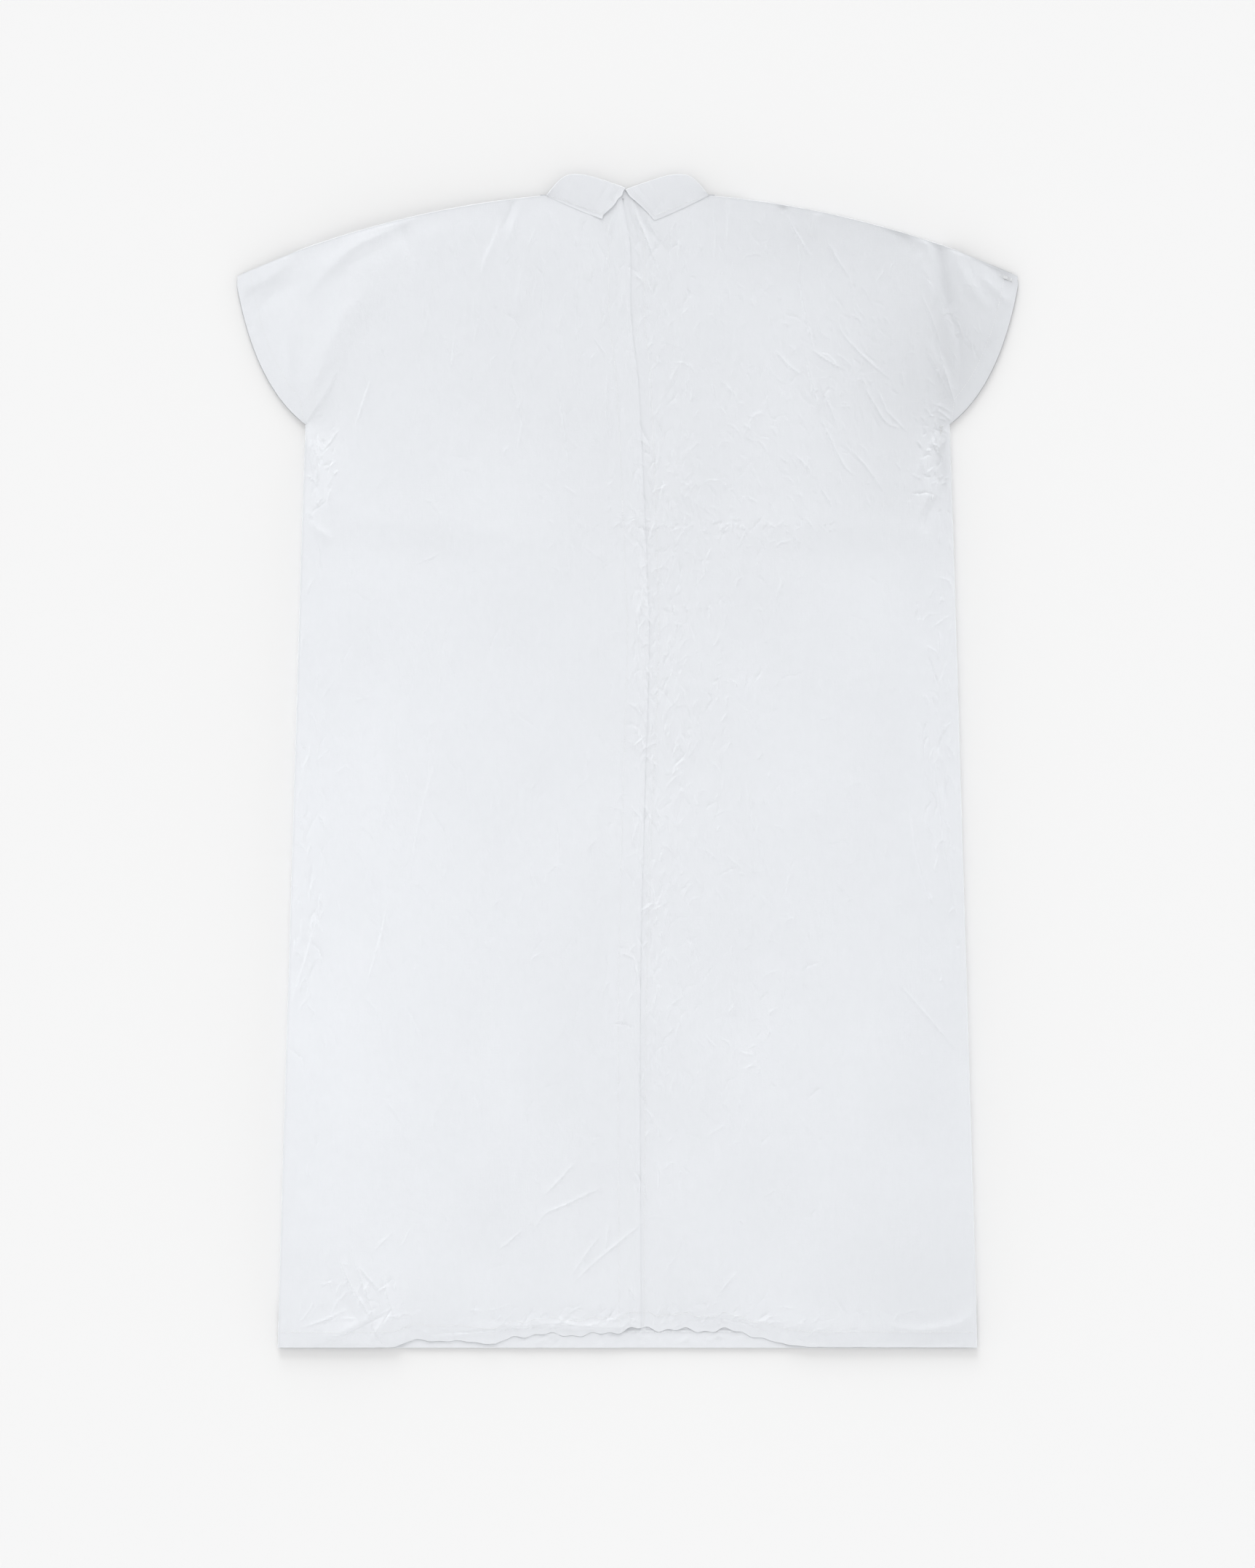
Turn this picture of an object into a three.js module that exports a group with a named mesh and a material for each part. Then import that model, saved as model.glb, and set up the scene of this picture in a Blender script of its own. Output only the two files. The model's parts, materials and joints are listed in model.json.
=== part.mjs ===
// Patient gown with a turned-down collar and a full-length back opening, lying face down.
// Millimetres. X runs across the gown, Y from hem to collar, Z up from the surface it lies on.
import * as THREE from "three";

// ---- Driving dimensions -------------------------------------------------------------------
const LENGTH = 1200; // hem to the top of the collar
const HEM_HALF = 357.5; // half the width of the body at the hem
const UNDERARM_HALF = 329; // half the width of the body at the underarm
const UNDERARM_Y = LENGTH - 255; // height of the underarm above the hem
const SLEEVE_HALF = 401; // half the width from sleeve tip to sleeve tip
const SLEEVE_TIP_Y = LENGTH - 103; // height of the sleeve tip
const MOUTH_BOW = [SLEEVE_HALF - 18, LENGTH - 215]; // the point the sleeve mouth's curve bends towards
const NECK_HALF = 85; // half the width between the two neck sides
const NECK_SIDE_Y = LENGTH - 22; // height of the neck sides, where the shoulder seams start
const SHOULDER_STRAIGHT = 0.34; // share of the shoulder's drop that is an even slope; the rest curves
const FRONT_NECK_DROP = 80; // depth of the front neckline under the neck sides
const FRONT_STAND = 25; // height of the neckband at the front
const NECK_CLEARANCE = 1.2; // between the front neckline's edge and the front collar

const CLOTH = 0.6; // one ply of gown cloth
const GAP = 0.3; // between plies that touch
const LOFT = 9.4; // underside of the back panels above the surface
const HEM_WIDTH = 18; // turned hem at the bottom and at the sleeve mouths
const FACING_WIDTH = 25; // turned facing along each edge of the back opening
const SEAM_THICK = 1.2; // two plies of seam allowance with their overlocking
const SEAM_INSET = 0.4; // the seam's outer face in from the cloth's edge
const BINDING_WIDTH = 8; // tape over the front neck seam
const BINDING_THICK = 1.0;

// Back opening: the left panel laps over the right one.
const LAP_EDGE_HEM = 20; // the upper edge's place at the hem, right of the centre line
const LAP_EDGE_NECK = -3; // and at the neck
const LAP_EDGE_POWER = 4; // how late the edge turns in towards the neck
const LAP_HEM = 20; // width of the overlap at the hem
const LAP_NECK = 8; // and at the neck
const LAP_RAMP = 20; // length over which each panel leaves its own level for the lap
const LAP_MARGIN = 5; // level cloth kept beside the overlap
const FOLD_NECK = 88; // where each flap folds back: distance from the centre line at the neck
const FOLD_HEM = 165; // and at the hem

// Press studs in the lap.
const STUD_RADIUS = 3.3;
const STUD_DISC = 0.5;
const BALL_RADIUS = 1.2;
const BALL_HEIGHT = 0.9;
const SOCKET_THICK = 1.1;
const SOCKET_CLEARANCE = 0.4; // around the ball
const SOCKET_ROOF = 0.2; // left above the socket's recess
const STUD_SEGMENTS = 14;
const STUD_ROWS = { upper: LENGTH - 220, middle: LENGTH - 460, lower: LENGTH - 700 }; // heights

// Collar: each back leaf is an upper ply, an interlining and an under ply.
const COLLAR_PLY = 0.5;
const INTERLINING = 0.3;
const NOTCH_Y = LENGTH - 15; // height of the roll line where the two leaves meet
const LEAF_NOTCH = { left: 1, right: 4 }; // each leaf's end at the roll line, from the centre line
const LEAF_TIP = { left: [24, LENGTH - 46.3], right: [28.6, LENGTH - 48] }; // lower corners
const LEAF_SIDE = [83, LENGTH - 23]; // where a leaf's lower edge ends at the neck side
const ROLL = [ // the roll line, from the centre line to the neck side
  [0, NOTCH_Y],
  [40, LENGTH - 2.4],
  [55, LENGTH],
  [68, LENGTH - 6.5],
  [82, LENGTH - 20.4],
];

const COTTON = { color: 0xeceef1, roughness: 0.86, metalness: 0 };
const TAPE = { color: 0xe4e6e9, roughness: 0.9, metalness: 0 };
const FELT = { color: 0xf0f0ee, roughness: 0.95, metalness: 0 };
const PLASTIC = { color: 0xf2f2ef, roughness: 0.4, metalness: 0 };

// ---- Levels, from the surface up ----------------------------------------------------------
const PITCH = CLOTH + GAP;
const COLLAR_THICK = 2 * COLLAR_PLY + INTERLINING + 2 * GAP;
const FRONT_BAND_Z = COLLAR_THICK + GAP;
const BAND_THICK = CLOTH + PITCH;
const STUD_STACK = 3 * GAP + STUD_DISC + SOCKET_THICK; // room between the two laps
const LAP_RISE = 1.7; // the left panel's lap above its own level
const LAP_DIP = BAND_THICK + STUD_STACK + CLOTH + GAP - CLOTH - LAP_RISE; // the right panel's lap below it
const LEAF_Z = LOFT + LAP_RISE + CLOTH + GAP; // underside of the collar leaves

// ---- Outline of the gown ------------------------------------------------------------------
const { lerp, clamp } = THREE.MathUtils;
const mix = (a, b, t) => [lerp(a[0], b[0], t), lerp(a[1], b[1], t)];
const steps = (n, from = 0, to = 1) => Array.from({ length: n + 1 }, (_, i) => lerp(from, to, i / n));

function bodyHalf(y) {
  return y < UNDERARM_Y ? lerp(HEM_HALF, UNDERARM_HALF, y / UNDERARM_Y) : UNDERARM_HALF - GAP / 2;
}

function shoulderY(x) {
  const s = (x - NECK_HALF) / (SLEEVE_HALF - NECK_HALF);
  const drop = SHOULDER_STRAIGHT * s + (1 - SHOULDER_STRAIGHT) * s * s;
  return NECK_SIDE_Y - (NECK_SIDE_Y - SLEEVE_TIP_Y) * drop;
}

const mouth = new THREE.QuadraticBezierCurve(
  new THREE.Vector2(UNDERARM_HALF, UNDERARM_Y),
  new THREE.Vector2(...MOUTH_BOW),
  new THREE.Vector2(SLEEVE_HALF, SLEEVE_TIP_Y),
);
const roll = new THREE.SplineCurve(ROLL.map((p) => new THREE.Vector2(...p)));

const foldX = (y) => lerp(FOLD_HEM, FOLD_NECK, y / NECK_SIDE_Y);
const lapEdge = (y) => lerp(LAP_EDGE_HEM, LAP_EDGE_NECK, Math.min(1, y / NECK_SIDE_Y) ** LAP_EDGE_POWER);
const lapWidth = (y) => lerp(LAP_HEM, LAP_NECK, Math.min(1, y / NECK_SIDE_Y));

// Underside of each flap: level, then up (left) or down (right) to its place in the lap.
function leftFlapZ(x, y) {
  const rampEnd = lapEdge(y) - lapWidth(y) - LAP_MARGIN;
  return LOFT + LAP_RISE * clamp(1 + (x - rampEnd) / LAP_RAMP, 0, 1);
}

function rightFlapZ(x, y) {
  const rampEnd = lapEdge(y) + LAP_MARGIN;
  return LOFT - LAP_DIP * clamp(1 - (x - rampEnd) / LAP_RAMP, 0, 1);
}

// ---- Solids -------------------------------------------------------------------------------
// A sheet: a grid over (u, v) whose lower face is at(u, v) = [x, y, z], with an even thickness upwards.
function sheet(us, vs, at, thickness) {
  const nu = us.length;
  const nv = vs.length;
  const lower = vs.flatMap((v) => us.map((u) => at(u, v)));
  const upper = lower.map(([x, y, z]) => [x, y, z + thickness]);
  const count = lower.length;
  const faces = [];
  const quad = (a, b, c, d) => faces.push([a, b, c], [a, c, d]);
  for (let r = 0; r + 1 < nv; r++)
    for (let c = 0; c + 1 < nu; c++) {
      const i = r * nu + c;
      quad(i + count, i + 1 + count, i + nu + 1 + count, i + nu + count);
      quad(i, i + nu, i + nu + 1, i + 1);
    }
  const rim = [];
  for (let c = 0; c + 1 < nu; c++) rim.push(c);
  for (let r = 0; r + 1 < nv; r++) rim.push(r * nu + nu - 1);
  for (let c = nu - 1; c > 0; c--) rim.push((nv - 1) * nu + c);
  for (let r = nv - 1; r > 0; r--) rim.push(r * nu);
  rim.forEach((a, k) => {
    const b = rim[(k + 1) % rim.length];
    quad(a, b, b + count, a + count);
  });
  const [ax, ay] = lower[0];
  const [bx, by] = lower[nu - 1];
  const [cx, cy] = lower[count - 1];
  const mirrored = (bx - ax) * (cy - ay) - (by - ay) * (cx - ax) < 0;
  const index = faces.flatMap(([a, b, c]) => (mirrored ? [a, c, b] : [a, b, c]));
  const geometry = new THREE.BufferGeometry();
  geometry.setAttribute("position", new THREE.Float32BufferAttribute([...lower, ...upper].flat(), 3));
  geometry.setIndex(index);
  geometry.computeVertexNormals();
  return geometry;
}

// The same grid on the other side of the gown.
const across = (side, at) => (u, v) => {
  const [x, y, z] = at(u, v);
  return [side * x, y, z];
};

const gown = new THREE.Group();
gown.position.y = -LENGTH / 2;

function add(name, geometry, finish) {
  const mesh = new THREE.Mesh(geometry, new THREE.MeshStandardMaterial(finish));
  mesh.name = name;
  gown.add(mesh);
}

const SIDES = [["left", -1], ["right", 1]];
const BODY_ROWS = [0, UNDERARM_Y / shoulderY(UNDERARM_HALF), 1];

// ---- Front: panel, hem, neck binding, neckband and collar ---------------------------------
function frontPanel() {
  const shoulder = steps(4, UNDERARM_HALF, NECK_HALF + 1);
  const neck = steps(12, 0.06, Math.PI - 0.06).map((a) => NECK_HALF * Math.cos(a));
  const stations = [...shoulder, ...neck, ...shoulder.map((x) => -x).reverse()];
  const neckline = (x) => NECK_SIDE_Y - FRONT_NECK_DROP * Math.sqrt(1 - (x / NECK_HALF) ** 2);
  const top = (x) => (Math.abs(x) > NECK_HALF ? shoulderY(Math.abs(x)) : neckline(x));
  const at = (x, v) => {
    const y = v * top(x);
    return [(x * bodyHalf(y)) / UNDERARM_HALF, y, 0];
  };
  return sheet(stations.reverse(), BODY_ROWS, at, CLOTH);
}
add("front_panel", frontPanel(), COTTON);

const HEM_SIDE_GAP = SEAM_INSET + SEAM_THICK + GAP; // a hem stops short of the side seam
add(
  "front_hem",
  sheet(steps(1, -1, 1), steps(1, 0, HEM_WIDTH), (u, y) => [u * (bodyHalf(y) - HEM_SIDE_GAP), y, PITCH], CLOTH),
  COTTON,
);

// A band round the front neckline: from one half-ellipse to another, with its ends turned up by an angle.
function neckRing(outer, inner, outerTurn, innerTurn, z, thickness) {
  const ellipse = (grow, turn, u) => {
    const angle = lerp(-turn, Math.PI + turn, u);
    return [
      (NECK_HALF + grow) * Math.cos(angle),
      NECK_SIDE_Y - (FRONT_NECK_DROP + grow) * Math.sin(angle),
    ];
  };
  const at = (u, v) => [...mix(ellipse(outer, outerTurn, u), ellipse(inner, innerTurn, u), v), z];
  return sheet(steps(14), [0, 1], at, thickness);
}
const ROLL_TURN = 0.3; // the collar's roll line rises above the neck sides by this angle
const BINDING_TURN = -0.12; // the binding stops short of the shoulder seams
const plyGap = COLLAR_PLY + GAP;
const hold = (inset) => [-NECK_CLEARANCE - inset, -FRONT_STAND + inset, -0.02, ROLL_TURN];
add("collar_front_upper", neckRing(...hold(0), 0, COLLAR_PLY), COTTON);
add("collar_front_interlining", neckRing(...hold(3), plyGap, INTERLINING), FELT);
add("collar_front_under", neckRing(...hold(0.5), plyGap + INTERLINING + GAP, COLLAR_PLY), COTTON);
add("front_neck_binding", neckRing(BINDING_WIDTH, 0, BINDING_TURN, BINDING_TURN, PITCH, BINDING_THICK), TAPE);
add("neckband_front", neckRing(BINDING_WIDTH / 2, -FRONT_STAND, -0.05, ROLL_TURN, FRONT_BAND_Z, BAND_THICK), COTTON);

// ---- Back: the fixed part of each panel, its hem and the seams that close the sides ----------
const FIXED_COLUMNS = steps(5);
for (const [name, side] of SIDES) {
  const fixed = (u, v) => {
    const y = v * shoulderY(lerp(FOLD_NECK, UNDERARM_HALF, u));
    return [lerp(foldX(y) + GAP / 2, bodyHalf(y), u), y, LOFT];
  };
  add(`back_${name}_panel`, sheet(FIXED_COLUMNS, BODY_ROWS, across(side, fixed), CLOTH), COTTON);

  const hem = (u, y) => [lerp(foldX(y) + GAP / 2, bodyHalf(y) - HEM_SIDE_GAP, u), y, LOFT - PITCH];
  add(`back_${name}_hem`, sheet([0, 1], [0, HEM_WIDTH], across(side, hem), CLOTH), COTTON);

  // Seam allowances stand on edge between the front and the back, with the overlocking on them.
  const seamHeight = LOFT - GAP - PITCH;
  const sideSeam = (u, v) => {
    const y = v * (UNDERARM_Y - GAP);
    return [lerp(bodyHalf(y) - SEAM_INSET - SEAM_THICK, bodyHalf(y) - SEAM_INSET, u), y, PITCH];
  };
  add(`side_seam_${name}`, sheet([0, 1], [0, 1], across(side, sideSeam), seamHeight), TAPE);

  const shoulderSeam = (from, to) => (u, v) => {
    const x = lerp(from, to, u);
    return [x, shoulderY(x) - lerp(SEAM_INSET + SEAM_THICK, SEAM_INSET, v) - 0.6, PITCH];
  };
  const onBody = shoulderSeam(FOLD_NECK + 6, UNDERARM_HALF - 1);
  add(`shoulder_seam_${name}`, sheet(steps(4), [0, 1], across(side, onBody), seamHeight), TAPE);

  // Sleeve: the same two panels carried on past the underarm, with their hems round the mouth.
  const inner = UNDERARM_HALF + GAP / 2;
  const mouthRows = steps(8, 0.04, 1);
  const row = (v) => {
    const m = mouth.getPoint(v);
    return [[inner, lerp(UNDERARM_Y + GAP, shoulderY(inner), v)], [m.x, m.y]];
  };
  const sleeve = (z) => (u, v) => [...mix(...row(v), u), z];
  add(`front_${name}_sleeve`, sheet([0, 0.5, 1], mouthRows, across(side, sleeve(0)), CLOTH), COTTON);
  add(`back_${name}_sleeve`, sheet([0, 0.5, 1], mouthRows, across(side, sleeve(LOFT)), CLOTH), COTTON);

  const sleeveHem = (z) => (u, v) => {
    const [a, b] = row(v);
    const width = Math.hypot(b[0] - a[0], b[1] - a[1]);
    return [...mix(a, b, lerp(Math.max(0.1, 1 - HEM_WIDTH / width), 1, u)), z];
  };
  const hemRows = steps(8, 0.08, 0.97);
  add(`front_${name}_sleeve_hem`, sheet([0, 1], hemRows, across(side, sleeveHem(PITCH)), CLOTH), COTTON);
  add(`back_${name}_sleeve_hem`, sheet([0, 1], hemRows, across(side, sleeveHem(LOFT - PITCH)), CLOTH), COTTON);

  const onSleeve = shoulderSeam(UNDERARM_HALF + 1, SLEEVE_HALF - 5);
  add(`sleeve_seam_${name}`, sheet(steps(2), [0, 1], across(side, onSleeve), seamHeight), TAPE);
}

// ---- Back opening: a flap, facing, hem and neckband end on each side ------------------------
const FLAPS = [
  { name: "left", side: -1, edge: lapEdge, underside: leftFlapZ },
  { name: "right", side: 1, edge: (y) => lapEdge(y) - lapWidth(y), underside: rightFlapZ },
];
const FLAP_ROWS = [0, 0.25, 0.5, 0.7, 0.85, 0.93, 1];
const rollY = (x) => {
  const reach = Math.min(Math.abs(x), ROLL.at(-1)[0]);
  const points = roll.getPoints(60);
  const next = Math.max(1, points.findIndex((p) => p.x >= reach));
  const [a, b] = [points[next - 1], points[next]];
  return lerp(a.y, b.y, (reach - a.x) / (b.x - a.x));
};

for (const { name, side, edge, underside } of FLAPS) {
  // Columns by distance in from the opening's edge, so that the level changes fall on grid lines.
  const flapColumns = (y) => {
    const level = lapWidth(y) + LAP_MARGIN;
    const fold = side * (foldX(y) - GAP / 2);
    const [e, near, far] = [0, level, level + LAP_RAMP].map((d) => edge(y) + side * d);
    return [e, near, far, (far + fold) / 2, fold];
  };
  const at = (c, v) => {
    const y = v * NECK_SIDE_Y;
    const x = flapColumns(y)[c];
    return [x, y, underside(x, y)];
  };
  add(`back_${name}_flap`, sheet([0, 1, 2, 3, 4], FLAP_ROWS, at, CLOTH), COTTON);

  const facingEnd = (y) => Math.max(FACING_WIDTH, lapWidth(y) + LAP_MARGIN + 2);
  const facing = (c, v) => {
    const y = v * (NECK_SIDE_Y - GAP);
    const x = edge(y) + side * [0, lapWidth(y) + LAP_MARGIN, facingEnd(y)][c];
    return [x, y, underside(x, y) - PITCH];
  };
  add(`${name}_facing`, sheet([0, 1, 2], FLAP_ROWS, facing, CLOTH), COTTON);

  const hem = (c, y) => {
    const x = [edge(y) + side * (facingEnd(y) + GAP), flapColumns(y)[2], flapColumns(y)[4]][c];
    return [x, y, underside(x, y) - PITCH];
  };
  add(`back_${name}_flap_hem`, sheet([0, 1, 2], [0, HEM_WIDTH], hem, CLOTH), COTTON);

  const bandColumns = () => {
    const e = edge(NECK_SIDE_Y);
    const near = LAP_NECK + LAP_MARGIN;
    const end = side * ROLL.at(-1)[0];
    return [e, e + side * near, e + side * (near + LAP_RAMP), side * 46, side * 55, side * 64, side * 73, end];
  };
  const band = (c, v) => {
    const x = bandColumns()[c];
    const y = lerp(NECK_SIDE_Y + GAP, rollY(x), v);
    return [x, y, underside(x, NECK_SIDE_Y) - PITCH];
  };
  add(`neckband_${name}`, sheet([0, 1, 2, 3, 4, 5, 6, 7], [0, 1], band, BAND_THICK), COTTON);
}

// ---- Press studs ----------------------------------------------------------------------------
function ballHalf() {
  const top = STUD_DISC + BALL_HEIGHT;
  const profile = [
    [0, 0], [STUD_RADIUS, 0], [STUD_RADIUS, STUD_DISC], [BALL_RADIUS - 0.2, STUD_DISC],
    [BALL_RADIUS, top - 0.5], [BALL_RADIUS - 0.1, top - 0.15], [BALL_RADIUS / 2, top], [0, top],
  ];
  return new THREE.LatheGeometry(profile.map((p) => new THREE.Vector2(...p)), STUD_SEGMENTS);
}

function socketHalf() {
  const bore = BALL_RADIUS + SOCKET_CLEARANCE;
  const roof = SOCKET_THICK - SOCKET_ROOF;
  const profile = [
    [0, roof], [bore, roof], [bore, 0], [STUD_RADIUS, 0],
    [STUD_RADIUS, SOCKET_THICK], [0, SOCKET_THICK],
  ];
  return new THREE.LatheGeometry(profile.map((p) => new THREE.Vector2(...p)), STUD_SEGMENTS);
}

const NECK_STUD_Y = (NECK_SIDE_Y + NOTCH_Y) / 2 + 0.2;
for (const [place, y] of Object.entries({ neck: NECK_STUD_Y, ...STUD_ROWS })) {
  const x = lapEdge(y) - lapWidth(y) / 2;
  const ballZ = rightFlapZ(x, y) + PITCH;
  const socketZ = leftFlapZ(x, y) - PITCH - GAP - SOCKET_THICK;
  add(`stud_ball_${place}`, ballHalf().rotateX(Math.PI / 2).translate(x, y, ballZ), PLASTIC);
  add(`stud_socket_${place}`, socketHalf().rotateX(Math.PI / 2).translate(x, y, socketZ), PLASTIC);
}

// ---- Collar leaves --------------------------------------------------------------------------
for (const [name, side] of SIDES) {
  const leaf = (z, margin, endMargin) => {
    const notch = [LEAF_NOTCH[name], rollY(LEAF_NOTCH[name])];
    const columns = [notch[0], 20, 36, 46, 55, 64, 73, ROLL.at(-1)[0]];
    const at = (c, v) => {
      const x = columns[c];
      const share = (x - notch[0]) / (ROLL.at(-1)[0] - notch[0]);
      const along = lerp(endMargin, 1 - endMargin, share);
      const reach = lerp(notch[0], ROLL.at(-1)[0], along);
      const top = [reach, rollY(reach)];
      const bottom = mix(LEAF_TIP[name], LEAF_SIDE, along);
      const [px, py] = mix(bottom, top, lerp(margin, 1 - margin, v));
      return [side * px, py, z];
    };
    return sheet(columns.map((_, c) => c), [0, 1], at, margin > 0.05 ? INTERLINING : COLLAR_PLY);
  };
  add(`collar_${name}_under`, leaf(LEAF_Z, 0.02, 0.01), COTTON);
  add(`collar_${name}_interlining`, leaf(LEAF_Z + plyGap, 0.08, 0.05), FELT);
  add(`collar_${name}_upper`, leaf(LEAF_Z + plyGap + INTERLINING + GAP, 0, 0), COTTON);
}

export default gown;
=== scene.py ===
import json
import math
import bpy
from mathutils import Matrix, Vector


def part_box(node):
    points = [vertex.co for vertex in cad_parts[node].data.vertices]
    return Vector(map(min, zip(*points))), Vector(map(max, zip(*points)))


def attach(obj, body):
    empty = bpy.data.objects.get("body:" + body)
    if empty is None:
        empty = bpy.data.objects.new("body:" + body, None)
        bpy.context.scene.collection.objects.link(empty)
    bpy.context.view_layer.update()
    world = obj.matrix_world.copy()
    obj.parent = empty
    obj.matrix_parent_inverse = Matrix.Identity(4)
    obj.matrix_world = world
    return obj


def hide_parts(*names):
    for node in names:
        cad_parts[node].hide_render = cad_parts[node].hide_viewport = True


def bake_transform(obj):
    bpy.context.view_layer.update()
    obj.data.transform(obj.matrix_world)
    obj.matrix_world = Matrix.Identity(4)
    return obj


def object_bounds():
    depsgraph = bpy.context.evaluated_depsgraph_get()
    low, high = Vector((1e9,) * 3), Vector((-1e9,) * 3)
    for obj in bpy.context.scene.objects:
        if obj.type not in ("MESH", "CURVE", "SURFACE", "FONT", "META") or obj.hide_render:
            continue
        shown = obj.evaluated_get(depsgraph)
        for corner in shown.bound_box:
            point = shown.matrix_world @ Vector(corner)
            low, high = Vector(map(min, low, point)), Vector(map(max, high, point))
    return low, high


bl_info = {
    "name": "Patient Gown",
    "version": (1, 0, 0),
    "blender": (4, 5, 0),
    "location": "3D View > Sidebar > Gown",
    "description": "Makes an open-back patient gown that lies flat, face down, piece by piece",
    "category": "Add Mesh",
}

import bpy
import numpy as np

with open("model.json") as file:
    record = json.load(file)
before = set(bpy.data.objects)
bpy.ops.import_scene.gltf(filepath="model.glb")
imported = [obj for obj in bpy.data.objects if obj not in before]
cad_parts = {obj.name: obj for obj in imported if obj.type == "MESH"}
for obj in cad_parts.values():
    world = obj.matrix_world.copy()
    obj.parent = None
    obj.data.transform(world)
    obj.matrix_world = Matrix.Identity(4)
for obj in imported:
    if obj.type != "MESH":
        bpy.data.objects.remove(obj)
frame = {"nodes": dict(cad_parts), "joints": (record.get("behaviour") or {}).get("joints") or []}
CAD_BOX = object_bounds()

MM = 0.001

# ---- Places taken from the frame ---------------------------------------------------------
HEM_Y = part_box("front_panel")[0].y
HEM_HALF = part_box("front_panel")[1].x
UNDERARM_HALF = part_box("front_right_sleeve")[0].x
UNDERARM_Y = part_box("side_seam_right")[1].y
SLEEVE_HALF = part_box("front_right_sleeve")[1].x
COLLAR_TOP = CAD_BOX[1].y
NECK_SIDE_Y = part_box("back_left_flap")[1].y
SLEEVE_TIP_Y = COLLAR_TOP - 103 * MM
BACK_Z = (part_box("back_left_panel")[0].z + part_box("back_left_panel")[1].z) / 2
JOINTS = {joint["name"]: joint for joint in frame["joints"]}

# ---- The cut, in metres from the centre line or down from the top of the collar ---------------
NECK_HALF = 85 * MM
SHOULDER_STRAIGHT = 0.34
MOUTH_BOW = (SLEEVE_HALF - 18 * MM, COLLAR_TOP - 215 * MM)
FRONT_NECK_DROP = 80 * MM
LEAF_NOTCH = {"left": -2 * MM, "right": -2.4 * MM}
LEAF_FRONT = {  # front edge from the notch to the tip, in millimetres across and above the hem
    "left": [(-3, 1184.5), (-5.5, 1178), (-9.5, 1174.5), (-12.5, 1169.5), (-16, 1165.5), (-21.5, 1160.5),
             (-24.8, 1157.5), (-25.4, 1153.6)],
    "right": [(-2.4, 1184.4), (1.5, 1178), (10, 1170.6), (19.5, 1161.6), (27.6, 1152.4)],
}
LEAF_SIDE = (82.5 * MM, COLLAR_TOP - 22.5 * MM)
LEAF_LIES = 0.62  # height in millimetres of the upper ply above the back cloth's middle
LEAF_EDGE = {  # drop in millimetres, and painted light that makes the last rows before the lower edge paler
    "left": [(0.03, 0), (0.07, 0), (0.12, 0), (0.17, 0), (0.22, 0.02), (0.26, 0.05), (0.3, 0.1)],
    "right": [(0.04, 0), (0.1, 0.01), (0.2, 0.03)],
}
LEAF_FRONT_DROP = {"left": (0.2, 0.1, 0.04), "right": (0.28, 0.2, 0.13, 0.07, 0.03)}
ROLL_LINE = [  # from the centre line to the neck side, in millimetres across and below the top
    (-12, 20.5), (0, 15), (22, 7.2), (40, 1.8), (54, 0.2), (64, 2.6), (73, 10), (82, 21),
]
LAP_EDGE = [  # height above the hem and place across, in millimetres, of the upper panel's edge
    (0, 14), (338, 13), (538, 17), (709, 22), (798, 20), (976, 12), (1050, 4), (1110, 3.5), (1135, 2),
    (1158, -2), (1178, -6),
]
LAP_WIDTH = (20 * MM, 8 * MM)  # at the hem and at the neck
HEM_WAVE = [  # place across and rise of the back panels' hem, in millimetres
    (-360, 0.4), (-262, 0.3), (-239, 1), (-219, 8), (-199, 7), (-159, 6), (-135, 4), (-118, 11), (-94, 13),
    (-45, 13), (2, 19), (50, 18), (95, 19), (115, 16), (135, 10), (153, 5), (187, 1), (360, 0.4),
]
HEM_PULL = [(0.1, 7.3, 0), (0.07, 3.1, 1), (0.05, 17, 0)]  # share, length and start of each small wave

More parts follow.
